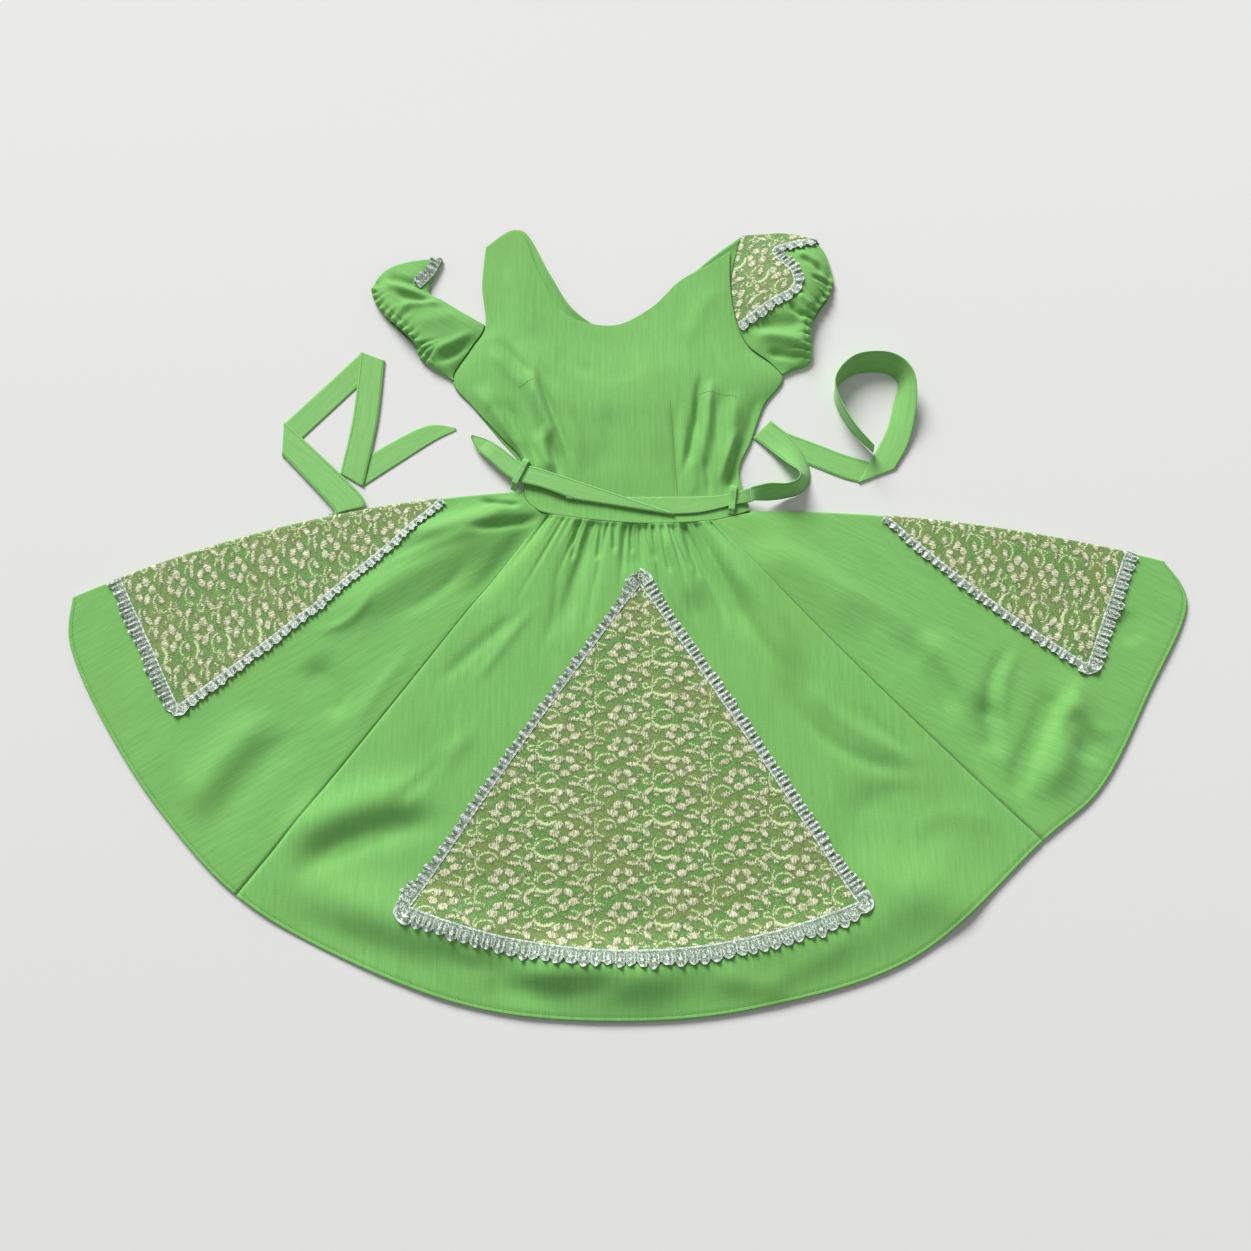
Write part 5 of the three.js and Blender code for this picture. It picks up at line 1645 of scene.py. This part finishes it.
def loop_grid(ends):
    """Across the band the height is the same. Along it the height is the highest near each place."""
    from_x, from_y, to_x, to_y = ends
    ux, uy = unit([to_x - from_x, to_y - from_y])
    t, side = np.meshgrid(np.linspace(0, 1, 31), np.linspace(1, -1, 7), indexing="ij")
    x = mix(from_x, to_x, t) - uy * LOOP_HALF * side
    y = mix(from_y, to_y, t) + ux * LOOP_HALF * side
    sash = belt_grids["sash_front"].reshape(-1, 3)
    near = np.hypot(x[..., None] - sash[:, 0], y[..., None] - sash[:, 1]) < 5
    belt_top = np.where(near, sash[:, 2], 0).max(-1) + 1.2
    cloth_top = dress_top(x, y)
    top = np.where(np.minimum(t, 1 - t) < 0.07, cloth_top, np.maximum(cloth_top, belt_top)).max(1)
    soft = np.convolve(np.pad(top, 2, mode="edge"), np.full(5, 0.2), mode="valid")
    height = np.maximum(top, soft)[:, None] + LOOP_LIFT + LOOP_WALL / 2
    return np.stack([x, y, np.broadcast_to(height, x.shape)], -1)


for side, ends in LOOPS.items():
    belt_grids[f"belt_loop_{side}"] = loop_grid(ends)
    belts[f"belt_loop_{side}"] = belt_piece(
        f"belt_loop_{side}_cloth", belt_grids[f"belt_loop_{side}"], [f"belt_loop_{side}"])

# %% [markdown]
# ## Sewing
#
# Rows of machine stitches show along the hem and the belt's two edges, and close the darts. Each stitch is
# a small square spindle of thread, lying along its row with its lower half in the cloth. A drawn line would
# be cheaper, but it would catch no light. All the stitches of one row are one mesh.

# %% Stitch rows
STITCH = 2.6
STITCH_PITCH = 3.6


def thread_material():
    """Plain green thread, a little darker and shinier than the cloth."""
    material, tree, shader, cut = start_material("green_thread", 0.55, 0.0)
    twist = streaks(tree, cut, 900, 900, 1.0)
    green = blend(tree, "MIX", spread(tree, twist, 0.35, 0.65), linear(72, 128, 54), linear(98, 158, 76))
    tree.links.new(green, shader.inputs["Base Color"])
    return material


green_thread = thread_material()


def stitch_row(name, line):
    """A square spindle at every pitch along a line of points: two tips and a square ring round the middle."""
    line = np.asarray(line, float)
    run = run_of(line)
    at = np.arange(STITCH_PITCH, run[-1] - STITCH_PITCH, STITCH_PITCH)
    middle, before, after = (
        np.stack([np.interp(at + shift, run, line[:, k]) for k in range(3)], -1)
        for shift in (0, -STITCH / 2, STITCH / 2)
    )
    way = unit(after - before)
    side = unit(np.cross(way, [0, 0, 1.0]))
    up = np.cross(side, way)
    corners = []
    for share, size in ((-0.5, 0.1), (-0.28, 0.32), (0.28, 0.32), (0.5, 0.1)):
        centre = middle + way * share * STITCH
        corners += [centre + side * size, centre + up * size, centre - side * size, centre - up * size]
    points = np.stack(corners, 1)
    ring = np.array([[4 * k + j, 4 * k + (j + 1) % 4, 4 * k + 4 + (j + 1) % 4, 4 * k + 4 + j]
                     for k in range(3) for j in range(4)] + [[0, 3, 2, 1], [12, 13, 14, 15]])
    quads = (np.arange(len(at))[:, None, None] * 16 + ring).reshape(-1, 4)
    return piece(name, points, quads, points[..., :2], green_thread, thickness=0)


print("a stitch is", STITCH, "mm long, one each", STITCH_PITCH, "mm")

# %% [markdown]
# ## Where the stitches run
#
# The hem is turned up once and sewn 5 mm from its edge, all round the part of the skirt that shows. The
# darts are short lines on the bodice, and the belt is sewn along both edges. Each line is read from the
# surface that it is sewn to, so the thread follows every fold.

# %% Stitches
STITCH_LIFT = 0.15
hem_rays = np.linspace(LEFT_FOLD + 0.15, RIGHT_FOLD - 0.15, 900)
rows = through(SKIRT_RAYS, hem_rays)
hem_share = 1 - HEM_LINE / np.linalg.norm(rows[:, 2:4] - rows[:, 0:2], axis=1)
hem_line = np.where(
    ((hem_rays > LEFT_SEAM) & (hem_rays < RIGHT_SEAM))[:, None],
    skirt_point(hem_rays, hem_share),
    np.where(
        (hem_rays < LEFT_SEAM)[:, None],
        side_surface(LEFT_SEAM, LEFT_FOLD, (LEFT_SEAM - hem_rays) / (LEFT_SEAM - LEFT_FOLD), hem_share),
        side_surface(RIGHT_SEAM, RIGHT_FOLD, (hem_rays - RIGHT_SEAM) / (RIGHT_FOLD - RIGHT_SEAM), hem_share),
    ),
)
stitches = [stitch_row("hem_stitches", hem_line + [0, 0, STITCH_LIFT])]

DARTS = [[[93, 266], [145, 260]], [[-145, 274], [-120, 282]], [[55, 256], [64, 111]]]
for k, (start, end) in enumerate(DARTS):
    x, y = np.linspace(start, end, 40).T
    u, v = place_on(front_plan, x, y, np.linspace(0, 1, 20), np.linspace(0, 1, 20), SMALL_STRIDE)
    stitches.append(stitch_row(f"dart_stitches_{k + 1}", bodice_point(u, v) + [0, 0, STITCH_LIFT]))

for name in BELT:
    grid = belt_grids[name] + normals_of(belt_grids[name]) * (BELT_WALL / 2 + STITCH_LIFT)
    for k, column in enumerate((1, BELT_ACROSS - 2)):
        stitches.append(stitch_row(f"{name}_stitches_{k + 1}", grid[:, column]))
print(len(stitches), "rows of stitches")

# %% [markdown]
# ## The cut of each sheet
#
# Every piece of cloth is listed with the size it was cut to, before it was sewn, gathered or folded. The
# area of a cut that is no rectangle is given too. What is measured here is the laid cloth, so a gathered
# piece comes out smaller than its cut.


# %% Sheets
def mesh_area(made):
    """Area of a piece's own mesh in square metres, worked out from its faces."""
    areas = np.empty(len(made.data.polygons))
    made.data.polygons.foreach_get("area", areas)
    return float(areas.sum())


SHEETS = [
    (skirt_front, (1.02, 0.62), 0.375, [skirt_back]),
    (side_pieces["left"], (0.86, 0.6), 0.31, []),
    (side_pieces["right"], (0.86, 0.6), 0.31, []),
    (skirt_back, (1.02, 0.62), 0.36, []),
    (bodice_front, (0.46, 0.46), 0.125, [bodice_back]),
    (bodice_back, (0.46, 0.46), 0.12, []),
    (sleeve_pieces["left"], (0.34, 0.2), 0.04, []),
    (sleeve_pieces["right"], (0.34, 0.24), 0.055, []),
    (lace_front, (0.54, 0.46), 0.125, [skirt_front]),
    (lace_sides["left"], (0.58, 0.19), 0.052, [side_pieces["left"]]),
    (lace_sides["right"], (0.4, 0.17), 0.034, [side_pieces["right"]]),
    (sleeve_cap, (0.16, 0.13), 0.012, [sleeve_pieces["right"]]),
]
for made, flat, area, below in SHEETS:
    print(made.name, "cut", area, "m2, laid", round(mesh_area(made), 4), "m2")

# Width of the edging as cut, and its mean width as laid, in metres
EDGING_CUT, EDGING_LAID = 0.015, 0.013
for key, made in edgings.items():
    long_side = round(mesh_area(made) / EDGING_LAID, 2)
    print(made.name, "cut", long_side, "by", EDGING_CUT, "m")

BELT_CUT, LOOP_CUT = 0.033, 0.01
ON_DRESS = ("sash_front", "belt_loop_left", "belt_loop_right")
for name, made in belts.items():
    width = LOOP_CUT if "loop" in name else BELT_CUT
    long_side = round(mesh_area(made) / width, 3)
    print(made.name, "cut", long_side, "by", width, "m")
    below = [bodice_front, skirt_front] if name in ON_DRESS else ["floor"]

# %% [markdown]
# ## Floor and light
#
# The floor is a plain pale sheet with a painted shade that makes it a little darker towards the hem, as the
# photograph's white is. A wide soft sun low on the upper left draws the folds, and an even sky fills the
# shadows. A small lamp would give harder shadows than the photograph has.

# %% Floor and light
FLOOR_REACH = 6.0
FLOOR_DROP = 0.00015
# Y in metres over which the floor's colour changes
SHADE_FROM, SHADE_TO = -0.7, 0.7
SKY_STRENGTH = 0.34
SUN_STRENGTH = 4.3
SUN_SPREAD = math.radians(30)
LIGHT_WAY = (-0.34, 0.74, 0.52)

floor_mesh = bpy.data.meshes.new("floor")
far = FLOOR_REACH
floor_mesh.from_pydata([(-far, -far, 0), (far, -far, 0), (far, far, 0), (-far, far, 0)], [], [(0, 1, 2, 3)])
floor = bpy.data.objects.new("floor", floor_mesh)
floor.location.z = -FLOOR_DROP
bpy.context.scene.collection.objects.link(floor)
pale = bpy.data.materials.new("pale_floor")
pale.use_nodes = True
tree = pale.node_tree
shader = tree.nodes["Principled BSDF"]
place = add_node(tree, "ShaderNodeTexCoord").outputs["Object"]
north = add_node(tree, "ShaderNodeSeparateXYZ", {"Vector": place}).outputs["Y"]
share = spread(tree, north, SHADE_FROM, SHADE_TO)
shaded = blend(tree, "MIX", share, linear(216, 217, 214), linear(224, 224, 222))
tree.links.new(shaded, shader.inputs["Base Color"])
shader.inputs["Roughness"].default_value = 0.9
floor_mesh.materials.append(pale)

world = bpy.data.worlds.new("sky")
bpy.context.scene.world = world
world.use_nodes = True
sky = world.node_tree.nodes["Background"]
sky.inputs["Color"].default_value = (1, 1, 1, 1)
sky.inputs["Strength"].default_value = SKY_STRENGTH

sun_data = bpy.data.lights.new("soft_sun", "SUN")
sun_data.energy = SUN_STRENGTH
sun_data.angle = SUN_SPREAD
sun = bpy.data.objects.new("soft_sun", sun_data)
sun.rotation_euler = Vector(LIGHT_WAY).to_track_quat("Z", "Y").to_euler()
bpy.context.scene.collection.objects.link(sun)
bpy.context.scene.view_settings.view_transform = "Standard"
print("lights:", len(bpy.data.lights))
